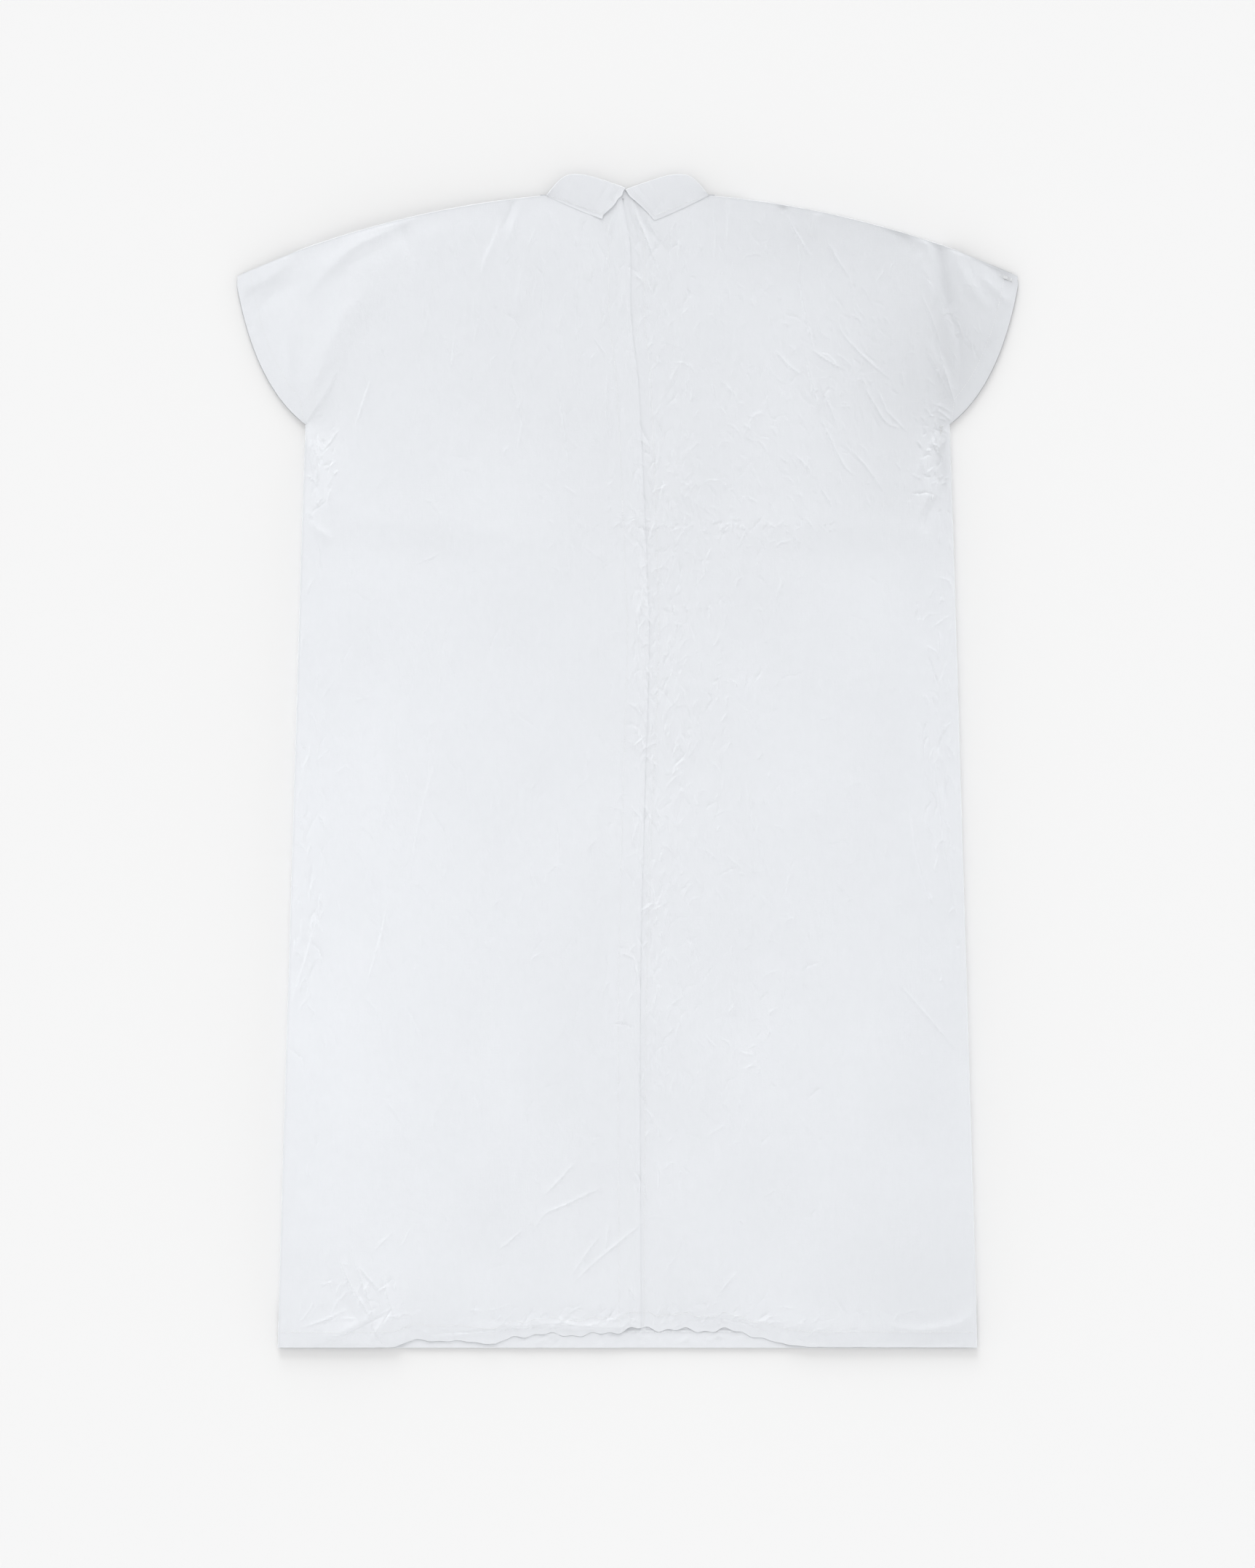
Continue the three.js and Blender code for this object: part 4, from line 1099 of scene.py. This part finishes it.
class GOWN_OT_back(bpy.types.Operator):
    """Left and right back panels, each in one piece from the opening to the side seam"""

    bl_idname = "gown.back"
    bl_label = "Back panels"

    def execute(self, context):
        cut = context.scene.gown_cut
        for side, sign in (("left", -1), ("right", 1)):
            surface = back_of(side)
            across = 0.34
            u = spaced(across, cut.pitch, (0, 0.3, 0.8, 1.5, 2.4), SEAM_ROWS + (0,)) / across
            base = float(back_bottom(HEM_HALF))
            edge, _ = border_rows(base, cut.pitch, BACK_HEM_ROWS)
            v = (edge - base) / (BORDER_TOP - base)
            top_x = mix(panel_edge(side, NECK_SIDE_Y), sign * UNDERARM_HALF, u)
            low_x = mix(panel_edge(side, HEM_Y), sign * HEM_HALF, u)
            bottom = back_bottom(low_x)
            y = bottom[None, :] + v[:, None] * (back_top(top_x) - bottom)[None, :]
            x = mix(panel_edge(side, y), sign * side_half(y), u[None, :])
            thickness = cut.cloth * mix(0.3, 1.0, smooth(np.abs(x - panel_edge(side, y)) / (1.8 * MM)))
            piece = grid(f"back_{side}_cloth", x, y, surface(x, y), finish_of("gown_cotton"), thickness,
                         normals=slope_normal(surface, x, y))
            declare(np.ptp(x), np.ptp(y), plan_area(x, y))
            fit(piece, "panel", side, [f"back_{side}_panel", f"back_{side}_flap"])
            self.hem(cut, side, sign)
            self.facing(cut, side, sign)
        return {"FINISHED"}

    def hem(self, cut, side, sign):
        across = np.linspace(panel_edge(side, HEM_Y) + sign * 0.5 * MM, sign * (HEM_HALF - HEM_END), 240)
        line = np.stack([across, back_bottom(across)], 1)
        up = np.tile([0.0, 1.0], (len(across), 1))
        surface = back_of(side)
        hem = turned_edge(f"back_{side}_hem_turning", line, up, cut.hem, surface, finish_of("hem_cotton"))
        declare(np.ptp(across), cut.hem + TURN_IN, np.ptp(across) * cut.hem)
        fit(hem, "panel", side, [f"back_{side}_hem", f"back_{side}_flap_hem"])
        row = on_surface(across, back_bottom(across) + cut.hem - STITCHED_IN, surface, 0.25 * MM)
        stitches(f"back_{side}_hem_stitching", [row], "panel", side, cut.stitch)

    def facing(self, cut, side, sign):
        bottom = float(back_bottom(panel_edge(side, HEM_Y)))
        y = np.linspace(bottom + 1 * MM, NECK_SIDE_Y - 1 * MM, 560)
        line = np.stack([panel_edge(side, y), y], 1)
        inward = np.tile([float(sign), 0.0], (len(y), 1))
        surface = back_of(side)
        facing = turned_edge(f"{side}_facing_turning", line, inward, cut.facing, surface,
                             finish_of("hem_cotton"), wrap=False)
        declare(cut.facing + TURN_IN, np.ptp(y), cut.facing * np.ptp(y))
        fit(facing, "flap", side, [f"{side}_facing"])
        inset = cut.facing - 2.5 * MM
        row = on_surface(line[:, 0] + sign * inset, y, surface, 0.22 * MM)
        stitches(f"{side}_facing_stitching", [row], "flap", side, cut.stitch, 0.2 * MM)


# ---- Sleeves ----------------------------------------------------------------------------
class GOWN_OT_sleeves(bpy.types.Operator):
    """Front and back of each cut-on sleeve, past the underarm, with its turned hem"""

    bl_idname = "gown.sleeves"
    bl_label = "Sleeves"

    def execute(self, context):
        cut = context.scene.gown_cut
        for side, sign in (("left", -1), ("right", 1)):
            for face, pitch, surface in (("front", cut.front_pitch, front_surface),
                                         ("back", cut.pitch, back_surface)):
                self.sleeve(cut, side, sign, face, pitch, surface)
        return {"FINISHED"}

    def sleeve(self, cut, side, sign, face, pitch, surface):
        if face == "front":
            border, underarm = border_rows(FRONT_BOTTOM, pitch, FRONT_HEM_ROWS)
        else:
            border, underarm = border_rows(float(back_bottom(HEM_HALF)), pitch, BACK_HEM_ROWS)
        inner_y = border[underarm:]
        v = (inner_y - UNDERARM_Y) / (BORDER_TOP - UNDERARM_Y)
        across = 0.06
        u = spaced(across, pitch, (0,), (2.4, 1.4, 0.7, 0.2, 0)) / across
        index = v * (len(MOUTH) - 1)
        mouth = np.stack([np.interp(index, np.arange(len(MOUTH)), MOUTH[:, k]) for k in (0, 1)], 1)
        mouth = self.round_tip(mouth, v)
        x = sign * mix(UNDERARM_HALF, mouth[:, 0][:, None], u[None, :])
        y = mix(inner_y[:, None], mouth[:, 1][:, None], u[None, :])
        gap = BORDER_TOP - inner_y[:, None]
        y = np.where(u[None, :] > 0, np.minimum(y, shoulder_y(x) - np.minimum(gap, 3 * MM)), y)
        piece = grid(f"{face}_{side}_sleeve_cloth", x, y, surface(x, y), finish_of("gown_cotton"), cut.cloth,
                     normals=slope_normal(surface, x, y))
        declare(np.ptp(x), np.ptp(y), plan_area(x, y))
        fit(piece, "sleeve", side, [f"{face}_{side}_sleeve"])
        self.hem(cut, side, sign, face, surface, v, mouth)

    def hem(self, cut, side, sign, face, surface, v, mouth):
        """The mouth's turning, between the underarm and the shoulder seam, and its stitching."""
        first, last = 0.03, 0.985
        keep = (v > first) & (v < last)
        fine = np.linspace(first, last, 110)
        edge = np.stack([sign * np.interp(fine, v[keep], mouth[keep, 0]),
                         np.interp(fine, v[keep], mouth[keep, 1])], 1)
        inner = np.stack([np.full_like(fine, sign * UNDERARM_HALF),
                          mix(UNDERARM_Y, shoulder_y(UNDERARM_HALF), fine)], 1)
        inward = inner - edge
        reach = np.linalg.norm(inward, axis=1)
        inward /= reach[:, None]
        width = np.minimum(cut.hem, reach * 0.8)
        hem = turned_edge(f"{face}_{side}_sleeve_turning", edge, inward, width, surface,
                          finish_of("hem_cotton"), facing_down=face == "back")
        around = np.linalg.norm(np.gradient(edge, axis=0), axis=1)
        declare(around.sum(), cut.hem + TURN_IN, (width * around).sum())
        fit(hem, "sleeve", side, [f"{face}_{side}_sleeve_hem"])
        row = edge + inward * (width - STITCHED_IN).clip(0.5 * MM)[:, None]
        lift = 0.12 * MM if face == "back" else THREAD_OVER_HEM
        stitches(f"{face}_{side}_sleeve_stitching", [on_surface(row[:, 0], row[:, 1], surface, lift)],
                 "sleeve", side, cut.stitch)

    @staticmethod
    def round_tip(mouth, v):
        """Rounds the corner where the mouth meets the shoulder."""
        pull = smooth((v - 0.93) / 0.07)[:, None] ** 2
        return mouth - pull * np.array([[2.2 * MM, 0.6 * MM]])


# ---- Seams ------------------------------------------------------------------------------
class GOWN_OT_seams(bpy.types.Operator):
    """Side, shoulder and sleeve seam allowances inside the gown, pressed open and overlocked together"""

    bl_idname = "gown.seams"
    bl_label = "Seams"

    IN = 1.0 * MM  # from the seam to its allowance
    RISE = 0.14  # slope of the allowance, up from the seam
    LOOP = (5.0 * MM, 9.3 * MM)  # from where to where the overlocking loops

    def execute(self, context):
        for side, sign in (("left", -1), ("right", 1)):
            y = np.linspace(HEM_Y + 20 * MM, UNDERARM_Y - 1 * MM, 420)
            self.strip(f"side_seam_{side}", sign * (side_half(y) - self.IN), y, (-sign, 0), "gown", side)
            for part, start, end, count, where in (
                    ("shoulder", NECK_HALF + 4 * MM, UNDERARM_HALF, 150, "gown"),
                    ("sleeve", UNDERARM_HALF, SLEEVE_HALF - 8 * MM, 50, "sleeve")):
                x = np.linspace(start, end, count)
                self.strip(f"{part}_seam_{side}", sign * x, shoulder_y(x) - self.IN, (0, -1), where, side)
        return {"FINISHED"}

    def strip(self, node, x, y, inward, where, side):
        """Two plies with a faint ripple, and thread looped over their raw edge."""
        wide = np.array([0, 1.5, 3.5, 6, 8, 9]) * MM
        along = np.arange(len(x))
        ripple = 0.25 * MM * np.sin(along * 0.9) * (wide[:, None] / wide[-1])
        gx = x[None, :] + inward[0] * wide[:, None]
        gy = y[None, :] + inward[1] * wide[:, None]
        gz = SEAM_Z + 0.4 * MM + self.RISE * wide[:, None] + ripple + 0 * gx
        gone = run_along(np.stack([x, y], 1))
        piece = grid(f"{node}_allowance", gx, gy, gz, finish_of("seam_cotton"), 0.7 * MM,
                     cut_plan(gone, wide))
        declare(10 * MM, gone[-1], 9 * MM * gone[-1])
        fit(piece, where, side, [node])
        count = int(gone[-1] / (3.2 * MM))
        at = np.linspace(0, gone[-1], 2 * count + 1)
        ex, ey = np.interp(at, gone, x), np.interp(at, gone, y)
        reach = np.where(np.arange(len(at)) % 2, self.LOOP[1], self.LOOP[0])
        zig = np.stack([ex + inward[0] * reach, ey + inward[1] * reach,
                        SEAM_Z + 0.82 * MM + self.RISE * reach], 1)
        stitches(f"{node}_overlock", [zig], where, side, 5.0 * MM, 0.2 * MM, 0.0)


# ---- Neckband and collar -------------------------------------------------------------------
def collar_frame(side, count):
    """Along a back collar leaf: the roll line's points, the lower edge's points and the way between."""
    sign = -1 if side == "left" else 1
    reach = np.linspace(LEAF_NOTCH[side] * sign, LEAF_SIDE[0], count)
    top = np.stack([sign * reach, np.interp(reach, ROLL[:, 0], ROLL[:, 1])], 1)
    share = ((reach - reach[0]) / (reach[-1] - reach[0]))[:, None]
    tip, end = np.array(LEAF_FRONT[side][-1]) * MM, np.array([sign * LEAF_SIDE[0], LEAF_SIDE[1]])
    tip[1] += HEM_Y
    low = mix(tip, end, share)
    low[:, 1] -= 0.9 * MM * np.sin(math.pi * share[:, 0])
    return top, low, share[:, 0]


class GOWN_OT_collar(bpy.types.Operator):
    """Back neckbands and the two turned-down collar leaves, with under ply, interlining and topstitching"""

    bl_idname = "gown.collar"
    bl_label = "Neckband and collar"

    COLUMNS = 96  # of a leaf's grid
    UPPER_ROLL = 0.82 * MM  # radius of the roll in the upper ply
    UNDER_IN = {"left": 8 * MM, "right": 3 * MM}  # how far the under ply stays inside the lower edge
    BAND_START = {"left": -4 * MM, "right": 0}  # of the stand, beside the opening, and its end and depth
    BAND_END = 82 * MM
    BAND_DEPTH = 22 * MM
    BAND_IN, BAND_LEAST = 3 * MM, 1.5 * MM  # below the neck seam, and its least rise from there
    BAND_BELOW_ROLL = 1.6 * MM
    ROLL_IN, ROLL_UP = 0.5 * MM, 0.4 * MM  # middle of the roll, from the roll line and the back's cloth
    ROLL_FLAT = 0.4  # its depth as a share of its height
    STRAIGHT_DOWN = 0.55
    FRONT_PLACES = 60
    CURL = {"left": 0.7 * MM, "right": 0.0}  # of the leaf's front edge
    FULL, RIPPLE = 0.25 * MM, 0.08 * MM

    def execute(self, context):
        cut = context.scene.gown_cut
        for side, sign in (("left", -1), ("right", 1)):
            self.neckband(side, sign)
            self.leaf(side, sign, "upper", self.UPPER_ROLL, 0.0, 0.0, 0.2 * MM)
            inset = self.UNDER_IN[side]
            self.leaf(side, sign, "interlining", 0.5 * MM, 0.18 * MM, inset + 1.5 * MM, 0.1 * MM)
            self.leaf(side, sign, "under", 0.23 * MM, 0.32 * MM, inset, 0.14 * MM)
            self.topstitch(cut, side, sign)
        return {"FINISHED"}

    def neckband(self, side, sign):
        """Both plies of the stand, from the neck seam up to the roll."""
        start = panel_edge(side, NECK_SIDE_Y) * sign + self.BAND_START[side]
        reach = np.linspace(start, self.BAND_END, 90)
        rise = np.interp(reach, ROLL[:, 0], ROLL[:, 1]) - self.BAND_BELOW_ROLL
        bottom = NECK_SIDE_Y - self.BAND_IN
        rise = np.maximum(rise, bottom + self.BAND_LEAST)
        rows = 9
        x = np.tile(sign * reach, (rows, 1))
        y = mix(bottom, rise[None, :], np.linspace(0, 1, rows)[:, None])
        z = back_surface(x, np.minimum(y, NECK_SIDE_Y), side)
        piece = grid(f"neckband_{side}_cloth", x, y, z - 0.09 * MM, finish_of("collar_cotton"), 0.34 * MM)
        declare(np.ptp(x), self.BAND_DEPTH, plan_area(x, y))
        fit(piece, "flap", side, [f"neckband_{side}"])

    def shape(self, side, sign, radius, inset, edge_inset, from_roll=False):
        """Points of one ply: round the roll and down to the leaf's edge, in rows from the stand outwards."""
        top, low, share = collar_frame(side, self.COLUMNS)
        way = low - top
        span = np.linalg.norm(way, axis=1)
        down = way / np.maximum(span, 1e-6)[:, None]
        down = mix(down, np.array([[0.0, -1.0]]), self.STRAIGHT_DOWN)
        down /= np.linalg.norm(down, axis=1)[:, None]
        centre_z = back_surface(top[:, 0], np.minimum(top[:, 1], NECK_SIDE_Y), side) + self.ROLL_UP
        rows = []
        if not from_roll:
            for back in (5 * MM, 2 * MM):
                rows.append(np.column_stack([top + down * (self.ROLL_IN + back), centre_z - radius]))
            for a in np.linspace(-math.pi / 2, -3 * math.pi / 2, 11):
                p = top + down * (self.ROLL_IN + self.ROLL_FLAT * radius * math.cos(a))
                rows.append(np.column_stack([p, centre_z + radius * math.sin(a)]))
        places = np.arange(self.FRONT_PLACES)
        front = through([(x * MM, HEM_Y + y * MM) for x, y in LEAF_FRONT[side]], self.FRONT_PLACES)
        start = top + down * self.ROLL_IN
        for t in np.linspace(0, 1, 36)[1:]:
            t_in = t * (1 - edge_inset / np.maximum(span, 8 * MM))
            p = mix(start, low, t_in[:, None])
            edge = np.array([np.interp(t_in[0] * places[-1], places, front[:, k]) for k in (0, 1)])
            p = p + (edge - p[0]) * ((1 - share) ** 5)[:, None] * smooth(t * 5)
            lift = self.lift(side, sign, p, t_in, edge, span)
            rest = back_surface(p[:, 0], np.minimum(p[:, 1], NECK_SIDE_Y), side)
            flat = rest + LEAF_LIES * MM - inset
            falls = mix(centre_z + radius, flat, smooth(t_in * 1.1))
            rows.append(np.column_stack([p, np.maximum(falls, flat) + lift]))
        return np.array(rows)

    def lift(self, side, sign, p, t, edge, span):
        """How far the leaf stands off: its front edge curls up, and its middle is a little full."""
        front = np.linalg.norm(p - edge, axis=1)
        curl = self.CURL[side] * np.exp(-((front / (7 * MM)) ** 1.4)) * smooth(t * 1.6)
        full = self.FULL * np.sin(math.pi * np.clip(t, 0, 1)) * smooth(span / (30 * MM))
        ripple = self.RIPPLE * np.sin(p[:, 0] * 260 + 1.3 * sign) * np.sin(p[:, 1] * 210)
        return curl + full + ripple * smooth(t * 3)

    def leaf(self, side, sign, ply, radius, inset, edge_inset, thickness):
        """One ply of a leaf; the upper one's edges are drawn down and painted a little paler, as painted
        light against their shade.
        """
        felt = ply == "interlining"
        points = self.shape(side, sign, radius, inset, edge_inset, from_roll=felt)
        painted_light = np.zeros(points.shape[:2])
        if edge_inset:
            points, painted_light = points[:, 7:-1], painted_light[:, 7:-1]
        if ply == "upper":
            # painted light: the last rows before the lower edge paler, against the shade of their drop
            for row, (drop, pale) in enumerate(reversed(LEAF_EDGE[side])):
                points[-1 - row, :, 2] -= drop * MM
                painted_light[-1 - row] = pale
            front = np.array(LEAF_FRONT_DROP[side])
            hold = smooth(np.linspace(-0.3, 0.9, len(points)))[:, None]
            fade = smooth(np.arange(len(points), 0, -1) / 8)[:, None]
            points[:, :len(front), 2] -= front * hold * fade * MM
            # painted light: the first columns at the front edge paler, against their shade
            painted_light[13:, :2] = 0.06
        along, down = run_along(points[len(points) // 2]), run_along(points[:, 20])
        material = finish_of("interlining_felt" if felt else "collar_cotton")
        piece = grid(f"collar_{side}_{ply}_cloth", *points.transpose(2, 0, 1), material, thickness,
                     cut_plan(along, down), painted_light=painted_light)
        declare(along[-1], down[-1], surface_area(points))
        fit(piece, "flap", side, [f"collar_{side}_{ply}"])

    def topstitch(self, cut, side, sign):
        """A row of stitches inside the leaf's front and lower edges."""
        points = self.shape(side, sign, self.UPPER_ROLL, 0.0, 0.0, from_roll=True)
        rows, cols = points.shape[:2]
        inset = cut.collar_stitch
        across = np.linalg.norm(np.diff(points[rows // 2], axis=0), axis=1).cumsum()
        column = int(np.searchsorted(across, inset)) + 1
        down = np.linalg.norm(np.diff(points[:, column], axis=0), axis=1)
        row = rows - 1 - max(1, int(round(inset / down.mean())))
        front = points[2:row + 1, column]
        lower = points[row, column:cols - 8]
        line = np.vstack([front, lower[1:]]) + np.array([0, 0, 0.1 * MM])
        stitches(f"collar_{side}_topstitching", [line], "flap", side, 2.3 * MM, 0.2 * MM)


class GOWN_OT_front_collar(bpy.types.Operator):
    """Front neckband, the collar turned down on it, and the tape over the neck seam"""

    bl_idname = "gown.front_collar"
    bl_label = "Front collar"

    def ring(self, grow, angle):
        """Places on the front neckline grown outwards (or inwards below zero), at angles from the right
        neck side."""
        x = (NECK_HALF + grow) * np.cos(angle)
        y = NECK_SIDE_Y - (FRONT_NECK_DROP + grow) * np.sin(angle)
        return x, y

    def band(self, name, node, profile, turn, material, slot, thickness, rests_on):
        """A band round the neckline; profile is (growth, height) pairs in millimetres."""
        profile = np.array(profile) * MM
        angle = np.linspace(-turn, math.pi + turn, 150)
        x, y = self.ring(profile[:, 0][:, None], angle[None, :])
        ripple = 0.16 * MM * np.sin(angle * 23)[None, :] * np.linspace(0, 1, len(profile))[:, None]
        z = profile[:, 1][:, None] + ripple
        along, down = NECK_HALF * angle, run_along(profile)
        piece = grid(name, x, y, z, material, thickness, cut_plan(along, down))
        declare(np.ptp(along), down[-1], surface_area(np.stack([x, y, z], 2)))
        fit(piece, "gown", nodes=[node])

    def execute(self, context):
        cotton, felt, tape = (finish_of(n) for n in ("collar_cotton", "interlining_felt", "seam_cotton"))
        run = np.linspace
        stand = [(g, 2.9 - 0.02 * g) for g in run(4, -22, 14)]
        curve = [(-24 + 1.6 * math.cos(a), 2.3 + 1.6 * math.sin(a)) for a in run(1.4, 4.7, 9)]
        fall = curve + [(g, 0.65) for g in run(-21, -1.6, 12)]
        lining = [(g, 1.15) for g in run(-21, -5, 8)]
        below = [(g, 1.65) for g in run(-22.4, -2.4, 12)]
        binding = [(-0.3, 1.2), (0, 1.75), (1, 1.95), (4, 1.9), (7, 1.75), (8, 1.3)]
        front, leaf = "front_panel_cloth", "collar_front_upper_cloth"
        for node, ending, profile, turn, material, slot, thickness, rests_on in (
                ("neckband_front", "cloth", stand, 0.02, cotton, "collar_cloth", 1.1, front),
                ("collar_front_upper", "cloth", fall, 0.0, cotton, "collar_cloth", 0.45, "floor"),
                ("collar_front_interlining", "cloth", lining, -0.03, felt, "interlining", 0.25, leaf),
                ("collar_front_under", "cloth", below, -0.02, cotton, "collar_cloth", 0.4, leaf),
                ("front_neck_binding", "tape", binding, -0.1, tape, "seam_tape", 0.5, front)):
            self.band(f"{node}_{ending}", node, profile, turn, material, slot, thickness * MM, rests_on)
        angle = np.linspace(0.14, math.pi - 0.14, 160)
        rows = []
        for grow in (1.3 * MM, 6.8 * MM):
            x, y = self.ring(grow, angle)
            rows.append(np.stack([x, y, np.full_like(x, 2.3 * MM)], 1))
        stitches("front_neck_stitching", rows, "gown", pitch=2.4 * MM)
        return {"FINISHED"}


# ---- Press studs ------------------------------------------------------------------------
def turned(name, profile, place, material, segments=28):
    """A turned solid: profile is (radius, height) pairs in millimetres from the axis round to the axis."""
    profile = np.array(profile) * MM
    angle = np.linspace(0, 2 * math.pi, segments, endpoint=False)
    inner = profile[1:-1]
    ring = np.stack([inner[:, 0][:, None] * np.cos(angle), inner[:, 0][:, None] * np.sin(angle),
                     np.repeat(inner[:, 1][:, None], segments, 1)], 2).reshape(-1, 3)
    vertices = np.vstack([ring, [[0, 0, profile[0, 1]], [0, 0, profile[-1, 1]]]]) + np.array(place)
    faces = []
    pole = len(inner) * segments
    last = pole - segments
    for k in range(segments):
        a, b = k, (k + 1) % segments
        for row in range(0, last, segments):
            faces.append((row + a, row + b, row + b + segments, row + a + segments))
        faces.append((pole, b, a))
        faces.append((pole + 1, last + a, last + b))
    return make_mesh(name, vertices, faces, material)


class GOWN_OT_studs(bpy.types.Operator):
    """Sew-on press studs hidden in the lap: sockets under the left panel, balls on the right one"""

    bl_idname = "gown.studs"
    bl_label = "Press studs"

    BALL = [(0, 0), (2.9, 0), (3.3, 0.15), (3.3, 0.32), (2.9, 0.48), (1.5, 0.5), (1.15, 0.62), (1.0, 0.8),
            (1.15, 1.0), (1.1, 1.2), (0.7, 1.36), (0, 1.4)]
    SOCKET = [(0, 0.7), (1.5, 0.7), (1.5, 0.2), (1.7, 0), (2.2, 0), (2.6, 0.35), (3.2, 0.5), (3.3, 0.75),
              (3.1, 1.0), (0, 1.05)]
    BALL_UP, SOCKET_DOWN = 0.22 * MM, 1.75 * MM  # from the middle of the cloth that each is sewn to

    def execute(self, context):
        for node in sorted(n for n in frame["nodes"] if n.startswith("stud_")):
            low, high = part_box(node)
            x, y = (low.x + high.x) / 2, (low.y + high.y) / 2
            on = min(y, NECK_SIDE_Y)
            x = float(lap_edge(on) - lap_width(on) / 2)
            ball = "ball" in node
            side = "right" if ball else "left"
            height = float(back_surface(np.array([x]), np.array([on]), side)[0])
            z = height + self.BALL_UP if ball else height - self.SOCKET_DOWN
            profile = self.BALL if ball else self.SOCKET
            piece = turned(f"{node}_moulding", profile, (x, y, z), finish_of("stud_plastic"))
            fit(piece, "flap", side, [node])
            self.sewing(node, (x, y, z + (0.45 if ball else 0.6) * MM), side)
        return {"FINISHED"}

    def sewing(self, node, place, side):
        """Four bars of thread from the stud's rim to the cloth."""
        def ray(angle, far, drop):
            return np.array(place) + np.array([far * math.cos(angle), far * math.sin(angle), -drop]) * MM

        lines = []
        for k in range(4):
            a = math.pi / 4 + k * math.pi / 2
            for spread in (-0.16, 0, 0.16):
                lines.append([ray(a + spread, 2.2, 0), ray(a + spread * 0.7, 4.0, 0.35)])
        stitches(f"{node}_sewing", lines, "flap", side, 4 * MM, 0.16 * MM, 0.0)


# ---- Stage ------------------------------------------------------------------------------
class GOWN_OT_stage(bpy.types.Operator):
    """Pale floor, even light with a soft key from the upper left, and the camera overhead"""

    bl_idname = "gown.stage"
    bl_label = "Floor, light and camera"

    FLOOR_HALF = 20.0
    FLOOR_Z = -0.1 * MM
    SENSOR = 36
    HORIZON = 8.0  # how closely the stronger light keeps to the horizon

    def execute(self, context):
        stage, scene = context.scene.gown_stage, context.scene
        corners = [(self.FLOOR_HALF * x, self.FLOOR_HALF * y, self.FLOOR_Z)
                   for x, y in ((-1, -1), (1, -1), (1, 1), (-1, 1))]
        material = new_material("floor_paint", Base_Color=(*stage.floor, 1), Roughness=1.0,
                                Specular_IOR_Level=0.0)[0]
        floor = make_mesh("floor", corners, [(0, 1, 2, 3)], material)
        self.light(stage, scene)
        self.camera(stage, scene)
        scene.view_settings.view_transform = "Standard"
        scene.view_settings.look = "None"
        return {"FINISHED"}

    def light(self, stage, scene):
        """Even light, stronger near the horizon, and one broad low key light."""
        world = bpy.data.worlds.new("even_light")
        world.use_nodes = True
        nodes, links = world.node_tree.nodes, world.node_tree.links
        background = nodes["Background"]
        background.inputs["Color"].default_value = (1, 1, 1, 1)
        place, split = nodes.new("ShaderNodeTexCoord"), nodes.new("ShaderNodeSeparateXYZ")
        links.new(place.outputs["Generated"], split.inputs[0])
        height = split.outputs["Z"]
        for operation, value, first in (
                ("SUBTRACT", 1.0, True), ("POWER", self.HORIZON, False), ("MULTIPLY", stage.rim, False),
                ("ADD", 1.0, False), ("MULTIPLY", stage.sky, False)):
            step = nodes.new("ShaderNodeMath")
            step.operation = operation
            step.inputs[0 if first else 1].default_value = value
            links.new(height, step.inputs[1 if first else 0])
            height = step.outputs[0]
        links.new(height, background.inputs["Strength"])
        scene.world = world
        sun = bpy.data.lights.new("key", "SUN")
        sun.energy, sun.angle = stage.sun, stage.sun_angle
        key = bpy.data.objects.new("key", sun)
        scene.collection.objects.link(key)
        key.rotation_euler = (0, math.pi / 2 - stage.sun_height, stage.sun_from)

    def camera(self, stage, scene):
        lens = bpy.data.cameras.new("overhead")
        lens.lens, lens.sensor_width = stage.lens, self.SENSOR
        lens.clip_start, lens.clip_end = 0.1, 50
        camera = bpy.data.objects.new("overhead", lens)
        camera.location = (0, stage.view_y, BACK_Z + stage.view_height * stage.lens / self.SENSOR)
        scene.collection.objects.link(camera)
        scene.camera = camera


class GOWN_PT_make(bpy.types.Panel):
    """Lists the steps that make the gown, with its sizes and colours"""

    bl_label = "Patient gown"
    bl_idname = "GOWN_PT_make"
    bl_space_type = "VIEW_3D"
    bl_region_type = "UI"
    bl_category = "Gown"

    def draw(self, context):
        for step in STEPS:
            self.layout.operator(step.bl_idname)
        for group in (context.scene.gown_cut, context.scene.gown_finish, context.scene.gown_stage):
            box = self.layout.box()
            for name in group.bl_rna.properties.keys():
                if name not in ("rna_type", "name"):
                    box.prop(group, name)


STEPS = (GOWN_OT_stage, GOWN_OT_front, GOWN_OT_back, GOWN_OT_sleeves, GOWN_OT_seams, GOWN_OT_collar,
         GOWN_OT_front_collar, GOWN_OT_studs)
SETTINGS = {"gown_cut": GownCut, "gown_finish": GownFinish, "gown_stage": GownStage}


def register():
    for cls in (*SETTINGS.values(), *STEPS, GOWN_PT_make):
        bpy.utils.register_class(cls)
    for name, group in SETTINGS.items():
        setattr(bpy.types.Scene, name, bpy.props.PointerProperty(type=group))


def unregister():
    for name in SETTINGS:
        delattr(bpy.types.Scene, name)
    for cls in reversed((*SETTINGS.values(), *STEPS, GOWN_PT_make)):
        bpy.utils.unregister_class(cls)


def main():
    register()
    bpy.ops.gown.stage()
    bpy.ops.gown.front()
    bpy.ops.gown.back()
    bpy.ops.gown.sleeves()
    bpy.ops.gown.seams()
    bpy.ops.gown.collar()
    bpy.ops.gown.front_collar()
    bpy.ops.gown.studs()


if __name__ == "__main__":
    main()
